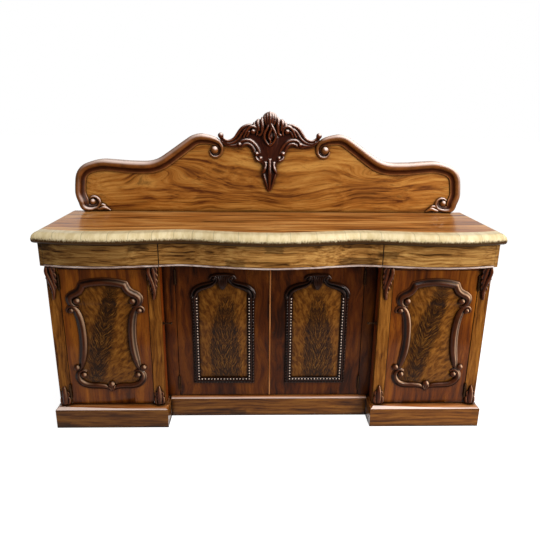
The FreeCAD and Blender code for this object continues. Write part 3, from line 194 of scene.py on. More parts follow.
# Balls in the eyes (across, up, radius, out) and leaf spurs beside the lower one
VOLUTE_BALLS = [(273, 1261, 19, 8), (892, 1001, 15, 7)]
SPURS = [
    [(870, 962, 6, 5), (852, 966, 9, 8), (836, 972, 9, 10), (822, 966, 7, 8), (808, 956, 4, 5)],
    [(858, 978, 3, 6), (846, 986, 6, 9), (834, 982, 6, 9), (826, 972, 3, 6)],
]
# Sections: (towards the inside of the line's bend or its outside, out from the ground)
GALLERY_SECTION = [(-25, 0), (-25, 6), (-23, 8), (-18, 8.2), (-12, 9), (-7.5, 11.5), (-5, 15.5),
                   (-3.5, 19.5), (-0.5, 23.3), (5, 26), (12, 26.2), (18, 24), (22.5, 19.5),
                   (25, 13), (25, 0)]
GALLERY_WRAP = [(0.3, 0.5), (0.3, -22), (23, -22), (24.9, -20), (24.9, 0.5)]
SCROLL_SECTION = [(-17.5, 0), (-17.5, 3), (-15.5, 5.5), (-11, 6.5), (-7, 9.5), (-4, 13),
                  (0.5, 15.6), (5.5, 15.8), (11, 14), (15.5, 10), (17.5, 5.5), (17.5, 0)]
PEARL_SECTION = [(-16, 0), (-16, 7), (-14, 9), (-12.5, 6), (-6, 5.5), (-4, 9), (0, 10.5),
                 (3.5, 9), (5, 5.5), (13, 5.5), (15, 3), (15, 0)]
ARCH_SECTION = [(-16, 0), (-16, 8), (-13, 12.5), (-9, 14), (-5, 12), (-2.5, 8), (0, 7),
                (3, 10), (7, 13), (11, 12), (14, 8), (16, 4), (16, 0)]

# Pedestal door scrolls, from the middle of the door: (across, up, share of the full section),
# with True where the line turns a sharp corner
HEAD_SCROLL = [(118, 601, 0.3), (134, 600, 0.48), (149, 611, 0.68), (156, 629, 0.85),
               (154, 645, 0.95), (143, 656, 1), (124, 666, 1), (109, 677, 1), (101, 689, 1),
               (94, 705, 1, True), (70, 711.5, 1), (35, 717, 1), (0, 719, 1)]
BOW_SCROLL = [(148, 281, 0.22), (140, 291, 0.42), (132, 308, 0.66), (125, 338, 0.9),
              (117, 380, 1), (112.5, 430, 1), (112.5, 480, 1), (117, 530, 1), (124, 562, 0.95),
              (134, 585, 0.8), (147, 597, 0.62), (161, 596, 0.5), (169, 585, 0.4), (166, 572, 0.3)]
FOOT_SCROLL = [(3, 180, 0.3), (13, 190, 0.52), (30, 198, 0.72), (60, 202, 0.8), (92, 203, 0.82),
               (120, 209, 0.85), (140, 223, 0.85), (151, 243, 0.8), (151, 264, 0.7),
               (141, 279, 0.56), (125, 284, 0.45), (110, 278, 0.34)]
SCROLL_PANEL = [(0, 714), (60, 710), (90, 702), (98, 686), (110, 671), (140, 655), (150, 632),
                (140, 612), (126, 600), (128, 575), (118, 530), (113, 480), (113, 430),
                (118, 380), (127, 335), (138, 300), (148, 270), (144, 238), (130, 216),
                (92, 204), (40, 200), (0, 192)]
# Balls of the scrolls (across, up, radius), and how far out they stand
SCROLL_BALLS = [(124, 628, 15), (151, 582, 12.5), (153, 299, 14), (125, 261, 14)]
SCROLL_STAND = 4
# Middle door: the pearl-beaded frame and the arched head, from the middle of the door
PEARL_FRAME = [(131, 632, 1), (131, 187, 1, True), (0, 187, 1)]
ARCH_HEAD = [(139, 616, 0.75), (136, 634, 1), (126, 652, 1), (106, 666, 1), (80, 675, 0.95),
             (56, 682, 0.8), (40, 692, 0.62), (30, 706, 0.45)]
ARCH_PANEL = [(0, 692), (30, 688), (60, 676), (106, 662), (124, 646), (130, 620), (130, 187),
              (0, 187)]
# Strokes (across, up, radius, out): the hook at each end of the arch, and the band between them
ARCH_HOOK = [(28, 698, 3, 8), (30, 716, 5, 10), (44, 724, 5, 10), (56, 714, 4, 7)]
ARCH_BAND = [(-60, 708, 4, 5), (-48, 722, 6, 7), (-26, 727, 6, 8), (0, 728, 6, 9), (26, 727, 6, 8),
             (48, 722, 6, 7), (60, 708, 4, 5)]
# How far the pearls stand out
PEARL_STAND = 7
# Thickness of the flame panels, and how far they stand out from the face of their door
PANEL_THICK = 12
PANEL_PROUD = 0.5


def linear(code):
    """Blender's colour for an sRGB hex value."""
    channels = [int(code[place:place + 2], 16) / 255 for place in (0, 2, 4)]
    bright = [c / 12.92 if c <= 0.04045 else ((c + 0.055) / 1.055) ** 2.4 for c in channels]
    return (*bright, 1.0)


# ---- modelling helpers --------------------------------------------------------------------------
def only(*items):
    """Select these objects and nothing else."""
    bpy.ops.object.select_all(action="DESELECT")
    for item in items:
        item.select_set(True)
    bpy.context.view_layer.objects.active = items[0]


def placed_mesh(item):
    """Put an object's place and turn into its mesh, which is merged and faces outwards."""
    only(item)
    if item.type != "MESH":
        bpy.ops.object.convert(target="MESH")
        item = bpy.context.object
    bpy.ops.object.transform_apply(location=True, rotation=True, scale=True)
    bpy.ops.object.mode_set(mode="EDIT")
    bpy.ops.mesh.select_all(action="SELECT")
    bpy.ops.mesh.remove_doubles(threshold=WELD)
    bpy.ops.mesh.normals_make_consistent(inside=False)
    bpy.ops.object.mode_set(mode="OBJECT")
    return item


def joined(name, parts):
    """One object made of several."""
    only(*parts)
    if len(parts) > 1:
        bpy.ops.object.join()
    item = bpy.context.object
    item.name = name
    item.data.name = name
    return item


def modify(item, kind, **settings):
    """Add a modifier with its settings and apply it."""
    only(item)
    modifier = item.modifiers.new(kind.lower(), kind)
    for key, value in settings.items():
        setattr(modifier, key, value)
    bpy.ops.object.modifier_apply(modifier=modifier.name)


def carved(name, parts, voxel):
    """Melt overlapping strokes and balls into one carved surface, its facets a voxel wide."""
    item = joined(name, parts)
    modify(item, "REMESH", mode="VOXEL", voxel_size=voxel)
    modify(item, "SMOOTH", factor=0.5, iterations=3)
    item.data.shade_smooth()
    return item


def new_curve(dimensions, fineness, base=0, turn=0):
    """A curve object with no spline in it yet, turned about X; base is how far back it lies."""
    bpy.ops.curve.primitive_bezier_curve_add(location=(0, base, 0), rotation=(turn, 0, 0))
    item = bpy.context.object
    item.data.dimensions = dimensions
    item.data.resolution_u = fineness
    item.data.splines.clear()
    return item


def set_spot(spot, place, share, handle="AUTO"):
    """Place a point of a smooth spline, with its share of the section and kind of handles."""
    spot.co = place
    spot.radius = share
    spot.handle_left_type = handle
    spot.handle_right_type = handle


def flat_curve(points, turn, base, closed):
    """A flat curve in the plane that its turn gives. Points are (across, up, share of the section)
    with True at the end where the line turns sharply; sections and outlines have no share."""
    item = new_curve("2D", 5, base, turn)
    item.data.fill_mode = "NONE"
    straight = len(points[0]) == 2
    spline = item.data.splines.new("POLY" if straight else "BEZIER")
    spots = spline.points if straight else spline.bezier_points
    spots.add(len(points) - 1)
    for spot, point in zip(spots, points):
        corner = (point[0] * MM, point[1] * MM, 0)
        if straight:
            spot.co = (*corner, 1)
        else:
            set_spot(spot, corner, point[2], "VECTOR" if len(point) == 4 else "AUTO")
    spline.use_cyclic_u = closed
    return item


def swept(points, section, base):
    """A moulding: its section runs along an upright line, bulging forward from the ground."""
    line = flat_curve(points, math.pi / 2, base, False)
    outline = flat_curve([(-aside, stand) for aside, stand in section], 0, 0, True)
    line.data.bevel_mode = "OBJECT"
    line.data.bevel_object = outline
    line.data.use_fill_caps = True
    item = placed_mesh(line)
    bpy.data.objects.remove(outline)
    return item


def stroke(points, base, flat=1.0):
    """A tapered round stroke of the gouge: points are (across, up, radius, out from the ground).
    Flat is the share of its depth that is left."""
    item = new_curve("3D", 6)
    item.data.bevel_depth = MM
    item.data.bevel_resolution = 3
    item.data.use_fill_caps = True
    spline = item.data.splines.new("BEZIER")
    spline.bezier_points.add(len(points) - 1)
    for spot, (across, up, radius, stand) in zip(spline.bezier_points, points):
        set_spot(spot, (across * MM, base - stand * MM, up * MM), radius)
    item = placed_mesh(item)
    if flat != 1.0:
        item.data.transform(Matrix.Translation((0, base, 0)) @ Matrix.Scale(flat, 4, (0, 1, 0))
                            @ Matrix.Translation((0, -base, 0)))
    return item


def ball(across, up, radius, base, stand, segments=24):
    """A turned ball on the ground, its middle as far out as its stand."""
    bpy.ops.mesh.primitive_uv_sphere_add(
        segments=segments, ring_count=segments // 2, radius=radius * MM,
        location=(across * MM, base - stand * MM, up * MM))
    return placed_mesh(bpy.context.object)


def plate(points, base, thickness, rounding=1.5):
    """A flat shaped plate with softened edges, cut to a closed outline."""
    line = flat_curve(points, math.pi / 2, base - thickness * MM / 2, True)
    line.data.fill_mode = "BOTH"
    line.data.extrude = (thickness / 2 - rounding) * MM
    line.data.bevel_depth = rounding * MM
    line.data.bevel_resolution = 1
    line.data.offset = -rounding * MM
    return placed_mesh(line)


def door_panel(half, base):
    """The plate in a door's opening, just proud of the door, from half of its outline."""
    return plate(half + mirrored_line(half)[1:-1], base + (PANEL_THICK - PANEL_PROUD) * MM,
                 PANEL_THICK)


def moved_copy(item, name, across, mirror=False):
    """A copy with its own mesh, moved across the front or mirrored about the middle."""
    twin = item.copy()
    twin.data = item.data.copy()
    bpy.context.scene.collection.objects.link(twin)
    twin.name = name
    twin.data.name = name
    turn = Matrix.Scale(-1, 4, (1, 0, 0)) if mirror else Matrix.Identity(4)
    twin.data.transform(Matrix.Translation((across, 0, 0)) @ turn)
    if mirror:
        twin.data.flip_normals()
    return twin


def door_pair(name, parts, middle):
    """A piece made about the sideboard's middle, moved to the middle of the right-hand door, and
    its copy on the left-hand one."""
    item = joined(name + "_right", parts)
    item.data.transform(Matrix.Translation((middle, 0, 0)))
    return {"right": item, "left": moved_copy(item, name + "_left", -2 * middle)}


def finish(item, wood, body, nodes, angle=SHARP):
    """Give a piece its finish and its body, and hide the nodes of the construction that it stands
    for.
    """
    item.data.materials.clear()
    item.data.materials.append(bpy.data.materials[wood])
    if angle:
        only(item)
        bpy.ops.object.shade_smooth_by_angle(angle=math.radians(angle))
    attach(item, body)
    if nodes:
        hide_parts(*nodes)


def mirrored_line(points):
    """The same points on the other side of the middle, run the opposite way."""
    return [(-across, *rest) for across, *rest in reversed(points)]


def both_halves(points):
    """A line that ends on the middle, carried on as its own mirror image."""
    return points + mirrored_line(points)[1:]


def around(eye, stations):
    """Points round a volute's eye from stations (degrees, reach, share of the section)."""
    return [(eye[0] + reach * math.cos(math.radians(angle)),
             eye[1] + reach * math.sin(math.radians(angle)), share)
            for angle, reach, share in stations]


def rounded(corners, steps=6):
    """Points along straight runs whose corners (across, up, radius) are rounded by arcs."""
    points = []
    for index, (across, up, radius) in enumerate(corners):
        spot = Vector((across, up))
        if radius == 0 or index in (0, len(corners) - 1):
            points.append((across, up))
            continue
        before = Vector(corners[index - 1][:2]) - spot
        after = Vector(corners[index + 1][:2]) - spot
        half = before.angle(after) / 2
        reach = min(radius / math.tan(half), min(before.length, after.length) / 2)
        first = spot + before.normalized() * reach
        last = spot + after.normalized() * reach
        for step in range(steps + 1):
            part = step / steps
            # A quadratic bend: close to the arc, and steady when the corner is slight
            points.append(tuple(first * (1 - part) ** 2 + spot * 2 * part * (1 - part)
                                + last * part ** 2))
    return points


# ---- materials ----------------------------------------------------------------------------------
def add_node(tree, kind, inputs=(), stops=(), **settings):
    """Add a node with its settings. Its inputs are listed in order or named in a dictionary, and
    each takes a value, a socket that feeds it, or a node, whose first output in use feeds it. A
    ramp's stops are (place, colour)."""
    node = tree.nodes.new("ShaderNode" + kind)
    for key, value in settings.items():
        setattr(node, key, value)
    for key, value in inputs.items() if isinstance(inputs, dict) else enumerate(inputs):
        if isinstance(value, bpy.types.Node):
            value = next(output for output in value.outputs if output.enabled)
        if isinstance(value, bpy.types.NodeSocket):
            tree.links.new(value, node.inputs[key])
        else:
            node.inputs[key].default_value = value
    stops = list(stops)
    if stops:
        ramp = node.color_ramp
        while len(ramp.elements) < len(stops):
            ramp.elements.new(1)
        for element, (place, colour) in zip(ramp.elements, stops):
            element.position = place
            element.color = colour
    return node


def new_material(name):
    """An empty node material and its tree."""
    material = bpy.data.materials.new(name)
    material.use_nodes = True
    material.node_tree.nodes.clear()
    return material, material.node_tree


def own_place(tree):
    """A place on the piece in the construction's frame, whole and split into X, Y and Z."""
    whole = add_node(tree, "TexCoord").outputs["Object"]
    return whole, add_node(tree, "SeparateXYZ", {"Vector": whole}).outputs


def wandering(tree, space, noise, reach):
    """A space pushed about by the colours of a noise, within a reach in millimetres."""
    centred = add_node(tree, "VectorMath", [noise.outputs["Color"], (0.5, 0.5, 0.5)],
                       operation="SUBTRACT")
    push = add_node(tree, "VectorMath", {0: centred, "Scale": reach * MM}, operation="SCALE")
    return add_node(tree, "VectorMath", [space, push], operation="ADD")


def grain_space(tree, grain, bulges, wander, wander_size):
    """Object coordinates with the grain along X, bent by a slow wander of the fibres and pushed
    aside round each bulge (along, across, reach along, reach across, push), in millimetres."""
    turns = {"X": (0, 0, 0), "Z": (0, math.pi / 2, 0)}
    place = add_node(tree, "TexCoord").outputs["Object"]
    space = add_node(tree, "Mapping", {"Vector": place, "Rotation": turns[grain]})
    slow = add_node(tree, "TexNoise", {"Vector": space, "Scale": 1 / (wander_size * MM),
                                       "Detail": 2.0, "Roughness": 0.45})
    space = wandering(tree, space, slow, wander)
    for along, across, reach_along, reach_across, push in bulges:
        middle = (along * MM, 0, across * MM)
        closer = (1 / (reach_along * MM), 0, 1 / (reach_across * MM))
        away = add_node(tree, "VectorMath", [space, middle], operation="SUBTRACT")
        share = add_node(tree, "VectorMath", [away, closer], operation="MULTIPLY")
        square = add_node(tree, "VectorMath", [share, share], operation="DOT_PRODUCT")
        fall = add_node(tree, "Math", [square, -1.0], operation="MULTIPLY")
        peak = add_node(tree, "Math", [fall], operation="EXPONENT")
        lift = add_node(tree, "Math", [peak, push * MM], operation="MULTIPLY")
        raised = add_node(tree, "CombineXYZ", {"Z": lift})
        space = add_node(tree, "VectorMath", [space, raised], operation="ADD")
    return space


def stretched_noise(tree, space, sizes, detail, distortion=0.0):
    """Noise whose blots are as long and wide as these sizes in millimetres."""
    scales = tuple(1 / (size * MM) for size in sizes)
    stretched = add_node(tree, "VectorMath", [space, scales], operation="MULTIPLY")
    return add_node(tree, "TexNoise", {"Vector": stretched, "Scale": 1.0, "Detail": detail,
                                       "Roughness": 0.58, "Distortion": distortion})


def shaded(tree, colour, measure, *stops):
    """A colour darkened along a measure: stops are (measure, share of the colour that is left)."""
    ramp = add_node(tree, "ValToRGB", [measure],
                    stops=((place, (left, left, left, 1)) for place, left in stops))
    return add_node(tree, "Mix", {0: 1.0, 6: colour, 7: ramp}, data_type="RGBA",
                    blend_type="MULTIPLY")


def polished(tree, material, colour, relief, gloss, coat, depth=0.3, shine=0.08):
    """French polish: a wood shader under a thin clear coat, with the pores as fine bumps of this
    depth in millimetres. It gives the eye warm wood under a soft, slightly uneven reflection."""
    bump = add_node(tree, "Bump", {"Height": relief, "Strength": 0.25, "Distance": depth * MM})
    shader = add_node(tree, "BsdfPrincipled", {
        "Base Color": colour, "Roughness": gloss, "Specular IOR Level": shine,
        "Coat Weight": coat, "Coat Roughness": 0.1, "Coat IOR": 1.25, "Normal": bump})
    add_node(tree, "OutputMaterial", {"Surface": shader})
    return material


def wood_colour(tree, space, tones, line, length, streak):
    """Colour and pores of figured mahogany: clouds 4.5 grain lines wide, the lines themselves,
    dark veins a little finer, and pores a ninth of a line wide."""
    lines = stretched_noise(tree, space, (length, line, line), 5.0, 0.25)
    clouds = stretched_noise(tree, space, (length * 1.6, line * 4.5, line * 4.5), 3.0, 0.6)
    figure = add_node(tree, "Mix", {0: 0.42, 2: lines, 3: clouds}, data_type="FLOAT")
    colour = add_node(tree, "ValToRGB", [figure], stops=zip((0.37, 0.48, 0.64), tones))
    veins = stretched_noise(tree, space, (length * 1.3, line * 0.8, line * 0.8), 4.0, 0.4)
    colour = shaded(tree, colour, veins, (0.33, 1 - streak), (0.43, 1), (0.66, 1),
                    (0.74, 1 - streak / 2))
    pores = stretched_noise(tree, space, (length / 8, line / 9, line / 9), 2.0)
    return shaded(tree, colour, pores, (0.3, 0.6), (0.46, 1)), pores


def painted_highlighted(tree, colour, bloom, side, start, most=1.0):
    """A painted highlight where a proud face turns to one side: none of it where the face turns
    there by less than the start, and the most of it where it faces that side squarely."""
    shape = add_node(tree, "NewGeometry").outputs
    facing = add_node(tree, "VectorMath", [shape["Normal"], side], operation="DOT_PRODUCT")
    share = add_node(tree, "MapRange", {"Value": facing, "From Min": start, "From Max": 1.0,
                                        "To Max": most})
    proud = add_node(tree, "MapRange", {"Value": shape["Pointiness"], "From Min": 0.47,
                                        "From Max": 0.51})
    soft = add_node(tree, "Math", [share, 1.7], operation="POWER")
    # How much painted highlight lies on this face
    wear_and_painted_light = add_node(tree, "Math", [soft, proud], operation="MULTIPLY")
    return add_node(tree, "Mix", {0: wear_and_painted_light, 6: colour, 7: bloom}, data_type="RGBA")


def grime_and_painted_shade(tree, colour, reach=26, darkest=0.12):
    """Painted shade in corners and hollows, together with the old polish and dust that gather
    there, as far out as the reach in millimetres, down to the darkest share of the wood's own
    colour."""
    shut_in = add_node(tree, "AmbientOcclusion", {"Distance": reach * MM}, samples=8)
    return shaded(tree, colour, shut_in.outputs["AO"], (0.5, darkest), (0.93, 1))


def let_in(tree, colour, share):
    """Darker oblongs over a share of the board, like let-in pieces of veneer with ragged ends."""
    piece = (83 * MM, 900 * MM, 31 * MM)
    ragged = 60 * MM
    left = 0.52
    place = add_node(tree, "TexCoord").outputs["Object"]
    fibres = stretched_noise(tree, place, (60, 60, 3), 3.0)
    shift = add_node(tree, "Math", [fibres, ragged], operation="MULTIPLY")
    aside = add_node(tree, "CombineXYZ", {"X": shift})
    moved = add_node(tree, "VectorMath", [place, aside], operation="ADD")
    pieces = add_node(tree, "VectorMath", [moved, piece], operation="SNAP")
    chance = add_node(tree, "TexWhiteNoise", {"Vector": pieces})
    return shaded(tree, colour, chance, (share - 0.01, left), (share, 1))


def painted_light_across(tree, colour, lit_shares):
    """Painted light and shade along the board, as the light falls on it: shares of its colour for
    its left end, its middle and its right.
    """
    parts = own_place(tree)[1]
    place = add_node(tree, "MapRange", {"Value": parts["X"], "From Min": cad_low.x,
                                        "From Max": cad_high.x})
    return shaded(tree, colour, place, *zip((0, 0.5, 1), lit_shares))


def dusty(tree, colour, dust):
    """Dust fills the upright joints on both sides of the middle drawer."""
    half_width = 2.2 * MM
    aside = add_node(tree, "Math", [own_place(tree)[1]["X"]], operation="ABSOLUTE")
    near = add_node(tree, "Math", [aside, DRAWER_JOINT_X, half_width], operation="COMPARE")
    return add_node(tree, "Mix", {0: near, 6: colour, 7: dust}, data_type="RGBA")


def board_wood(name, tones, grain, line, length, wander, wander_size=500, bulges=(), streak=0.5,
               gloss=0.32, coat=0.45, patched=0, painted_side_light=None, dust=None, edge=None):
    """A figured mahogany board. In millimetres, line and length are the width and length of its
    grain lines, and wander how far they sway over each wander_size. Streak is how far its veins
    darken, patched the share of its let-in pieces, painted_side_light the shares of its colour at
    its left end, middle and right end as painted light and shade, dust the colour in the joints
    beside the middle drawer, and edge the colour of a painted highlight along its front edge.
    Every board also gets painted shade in its corners and hollows."""
    material, tree = new_material(name)
    space = grain_space(tree, grain, bulges, wander, wander_size)
    colour, pores = wood_colour(tree, space, tones, line, length, streak)
    if patched:
        colour = let_in(tree, colour, patched)
    if painted_side_light:
        colour = painted_light_across(tree, colour, painted_side_light)
    if dust:
        colour = dusty(tree, colour, dust)
    # A painted highlight along the front edge
    if edge:
        colour = painted_highlighted(tree, colour, edge, FRONT_EDGE_HIGHLIGHT, 0.88)
    return polished(tree, material, grime_and_painted_shade(tree, colour), pores, gloss, coat)


def behind_front(tree, parts):
    """How far a place on the top lies behind the front line of its flat, read off the board's own
    corners; parts are the outputs that give the place as X, Y and Z."""
    corners = [vertex.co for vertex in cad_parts["top_board"].data.vertices]
    line = sorted({(round(spot.x, 4), spot.y) for spot in corners
                   if spot.z > TOP_Z - 0.1 * MM and spot.y < 0 and spot.x > -1 * MM})
    reach = line[-1][0]
    near = min(forward for across, forward in line)
    depth = max(forward for across, forward in line) - near
    side = add_node(tree, "Math", [parts["X"]], operation="ABSOLUTE")
    share = add_node(tree, "Math", [side, 1 / reach], operation="MULTIPLY")
    bend = add_node(tree, "FloatCurve", {"Value": share})
    curve = bend.mapping.curves[0]
    places = [(max(across, 0) / reach, (forward - near) / depth) for across, forward in line]
    curve.points[0].location = places[0]
    curve.points[-1].location = places[-1]
    for place in places[1:-1]:
        curve.points.new(*place).handle_type = "VECTOR"
    bend.mapping.update()
    front = add_node(tree, "Math", [bend, depth, near], operation="MULTIPLY_ADD")
    return add_node(tree, "Math", [parts["Y"], front], operation="SUBTRACT")


def top_wood(name, tones, lip_tones, under):
    """The top: long-grained polished mahogany with a pale cross-grained moulded lip and front
    band, brown along its underside. Its colour is raised as a painted reflection of the sky, and
    painted lighter towards its left end. The eye sees golden boards edged by a pale strip."""
    material, tree = new_material(name)
    space = grain_space(tree, "X", (), wander=70, wander_size=600)
    board, pores = wood_colour(tree, space, tones, line=20, length=420, streak=0.75)
    whole, parts = own_place(tree)
    strands = stretched_noise(tree, whole, (22, 90, 60), 4.0, 0.2)
    lip = add_node(tree, "ValToRGB", [strands], stops=zip((0.2, 0.42, 0.6), lip_tones))
    # The lip and the band are pieced from lengths of about this many millimetres
    piece = 100
    pieces = add_node(tree, "Math", [parts["X"], 1 / (piece * MM)], operation="MULTIPLY")
    joints = add_node(tree, "TexVoronoi", {"W": pieces, "Scale": 1.0, "Randomness": 0.8},
                      voronoi_dimensions="1D", feature="DISTANCE_TO_EDGE")
    lip = shaded(tree, lip, joints, (0.003, 0.4), (0.01, 1))
    # The lip turns brown raggedly towards its underside
    fuzz = stretched_noise(tree, whole, (4, 14, 9), 4.0)
    lowered = add_node(tree, "Math", [fuzz, -27 * MM, parts["Z"]], operation="MULTIPLY_ADD")
    browner_below = add_node(tree, "MapRange", {"Value": lowered, "From Min": TOP_Z - 46 * MM,
                                       "From Max": TOP_Z - 36 * MM})
    brown = add_node(tree, "Mix", {0: browner_below, 6: under, 7: lip}, data_type="RGBA")
    # Long-grained wood shows on the flat behind the front band, and on the back edge
    band = 44 * MM
    on_top = add_node(tree, "MapRange", {"Value": parts["Z"], "From Min": TOP_Z - 2.2 * MM,
                                         "From Max": TOP_Z - 1 * MM})
    inside = add_node(tree, "MapRange", {"Value": behind_front(tree, parts), "From Min": band,
                                         "From Max": band + 1 * MM})
    at_back = add_node(tree, "MapRange", {"Value": parts["Y"], "From Min": TOP_BACK_Y - 3 * MM,
                                          "From Max": TOP_BACK_Y - 2 * MM})
    on_board = add_node(tree, "Math", [on_top, inside], operation="MULTIPLY")
    plain_wood = add_node(tree, "Math", [on_board, at_back], operation="MAXIMUM")
    colour = add_node(tree, "Mix", {0: plain_wood, 6: brown, 7: board}, data_type="RGBA")
    # Painted light: the top is lighter towards its left end
    return polished(tree, material, painted_light_across(tree, colour, (1.0, 0.84, 0.78)), pores, 0.3, 0.16,
                    shine=0.04)


def plume_wood(name, tones, filament, spot, lean, width, height, splay):
    """Flame mahogany: from a leaning stem at the spot (middle of the door, up, aside of the
    middle) fine filaments splay up and out of a dark plume, on mottled golden ground. Sizes are
    in millimetres, angles in degrees."""
    material, tree = new_material(name)
    whole, parts = own_place(tree)
    # The stem of the nearer panel: the middle of its door on this side of the sideboard
    beside = add_node(tree, "Math", [parts["X"]], operation="SIGN")
    stem = add_node(tree, "Math", [beside, spot[0] * MM, spot[2] * MM], operation="MULTIPLY_ADD")
    across = add_node(tree, "Math", [parts["X"], stem], operation="SUBTRACT")
    up = add_node(tree, "Math", [parts["Z"], spot[1] * MM], operation="SUBTRACT")
    flat = add_node(tree, "CombineXYZ", {"X": across, "Z": up})
    leaning = add_node(tree, "VectorRotate", {"Vector": flat, "Angle": math.radians(lean)},
                       rotation_type="Y_AXIS")
    wobble = add_node(tree, "TexNoise", {"Vector": whole, "Scale": 8.0, "Detail": 3.0})
    bent = wandering(tree, leaning, wobble, 60)
    part = add_node(tree, "SeparateXYZ", {"Vector": bent}).outputs
    # Both sides of the plume are alike, and its threads fan out from the stem
    side = add_node(tree, "Math", [part["X"]], operation="ABSOLUTE")
    mirrored = add_node(tree, "CombineXYZ", {"X": side, "Z": part["Z"]})
    fanned = add_node(tree, "VectorRotate", {"Vector": mirrored, "Angle": math.radians(-splay)},
                      rotation_type="Y_AXIS")
    threads = stretched_noise(tree, fanned, (2.2, 40, 34), 5.0, 0.9)
    reach = add_node(tree, "Math", [side, 1 / (width * MM)], operation="MULTIPLY")
    rise = add_node(tree, "Math", [part["Z"], 1 / (height * MM)], operation="MULTIPLY")
    away = add_node(tree, "CombineXYZ", {"X": reach, "Z": rise})
    far = add_node(tree, "VectorMath", [away], operation="LENGTH")
    ragged = add_node(tree, "Math", [threads, 1.4, far], operation="MULTIPLY_ADD")
    in_plume = add_node(tree, "MapRange", {"Value": ragged, "From Min": 1.5, "From Max": 1.75,
                                           "To Min": 1.0, "To Max": 0.0})
    dark, middle, light = tones
    ground = stretched_noise(tree, fanned, (15, 26, 36), 9.0, 0.3)
    mottle = add_node(tree, "ValToRGB", [ground],
                      stops=[(0.25, dark), (0.46, middle), (0.68, light)])
    feather = add_node(tree, "ValToRGB", [threads],
                       stops=[(0.49, dark), (0.6, middle), (0.68, filament)])
    colour = add_node(tree, "Mix", {0: in_plume, 6: mottle, 7: feather}, data_type="RGBA")
    fine = stretched_noise(tree, fanned, (1.6, 20, 26), 2.0)
    figure = shaded(tree, colour, fine, (0.36, 0.76), (0.52, 1))
    return polished(tree, material, grime_and_painted_shade(tree, figure), fine, 0.34, 0.2)


def carved_mahogany(name, tones, bloom, side, start, most=1.0, painted_side_light=None):
    """Carved mahogany: painted shade nearly black in the hollows, redder on the heights, and a
    painted highlight where it turns to one side."""
    material, tree = new_material(name)
    # The painted highlight is itself painted stronger towards one end of the sideboard
    if painted_side_light:
        bloom = painted_light_across(tree, bloom, painted_side_light)
    shape = add_node(tree, "NewGeometry").outputs
    # Painted shade by how pointed the surface is: darkest in the hollows, lightest on the heights
    heights = add_node(tree, "ValToRGB", [shape["Pointiness"]],
                       stops=zip((0.44, 0.5, 0.57), tones))
    place = add_node(tree, "TexCoord").outputs["Object"]
    rub = add_node(tree, "ValToRGB", [stretched_noise(tree, place, (36, 36, 36), 4.0)],
                   stops=[(0.35, (0.7, 0.7, 0.7, 1)), (0.65, (1.15, 1.1, 1.05, 1))])
    wear_and_painted_light = add_node(tree, "Mix", {0: 1.0, 6: heights, 7: rub}, data_type="RGBA",
                      blend_type="MULTIPLY")
    highlighted = painted_highlighted(tree, wear_and_painted_light, bloom, side, start, most)
    pores = stretched_noise(tree, place, (2.5, 2.5, 2.5), 2.0)
    return polished(tree, material, grime_and_painted_shade(tree, highlighted, 18, 0.08), pores, 0.34, 0.35, 0.15, 0.06)


def metal(name, colour, roughness):
    """Aged metal with uneven tarnish, dull in blots about 6 mm wide."""
    material, tree = new_material(name)
    place = add_node(tree, "TexCoord").outputs["Object"]
    stain = add_node(tree, "TexNoise", {"Vector": place, "Scale": 180.0, "Detail": 4.0})
    dull = tuple(part * 0.45 for part in colour[:3]) + (1,)
    tint = add_node(tree, "ValToRGB", [stain], stops=[(0.38, dull), (0.62, colour)])
    shader = add_node(tree, "BsdfPrincipled", {"Base Color": tint, "Metallic": 1.0,
                                               "Roughness": roughness})
    add_node(tree, "OutputMaterial", {"Surface": shader})
    return material


# ---- sizes and colours that a user can change ---------------------------------------------------
class SideboardSizes(bpy.types.PropertyGroup):
    """Sizes that a user would change."""
    carving_voxel: bpy.props.FloatProperty(
        name="Carving fineness", description="Size of the facets of the carved crest",
        default=2.2 * MM, min=1 * MM, max=8 * MM, unit="LENGTH")
    truss_voxel: bpy.props.FloatProperty(
        name="Truss fineness", description="Size of the facets of the trusses and feet",
        default=1.3 * MM, min=0.6 * MM, max=6 * MM, unit="LENGTH")
    pearl_radius: bpy.props.FloatProperty(
        name="Pearl radius", description="Radius of the pearls on the middle doors",
        default=4.1 * MM, min=1 * MM, max=6 * MM, unit="LENGTH")
    pearl_pitch: bpy.props.FloatProperty(
        name="Pearl spacing", description="Distance from pearl to pearl",
        default=15 * MM, min=6 * MM, max=30 * MM, unit="LENGTH")
    arris: bpy.props.FloatProperty(
        name="Arris", description="Rounding of the sharp edges of the boards",
        default=1.2 * MM, min=0, max=4 * MM, unit="LENGTH")
    pilaster_width: bpy.props.FloatProperty(
        name="Pilaster width", description="Width of the posts that carry trusses and feet",
        default=53 * MM, min=30 * MM, max=90 * MM, unit="LENGTH")


def colour_properties():
    """A property for every colour: three shades of each wood, and the single colours."""
    named = {f"{wood}_{shade}": (code, f"{what} of {where}")
             for wood, (*codes, where) in WOODS.items()
             for code, (shade, what) in zip(codes, SHADES.items())}
    return {name: bpy.props.FloatVectorProperty(
                name=name.replace("_", " ").capitalize(), description=what, default=linear(code),
                size=4, min=0, max=1, subtype="COLOR")
            for name, (code, what) in {**named, **SINGLE_COLOURS}.items()}


class SideboardColours(bpy.types.PropertyGroup):
    """Colours of the woods and metals."""
    __annotations__ = colour_properties()


# ---- steps --------------------------------------------------------------------------------------
def white_share(tree, reflected):
    """How much of a backdrop's white shows: all of it to the camera and through clear pieces, the
    reflected share in polish, and none in what lights the sideboard."""
    path = add_node(tree, "LightPath").outputs
    clear = add_node(tree, "Math", [path["Is Camera Ray"], path["Is Transmission Ray"]],
                     operation="MAXIMUM")
    polish = add_node(tree, "Math", [path["Is Glossy Ray"], reflected], operation="MULTIPLY")
    return add_node(tree, "Math", [clear, polish], operation="MAXIMUM")


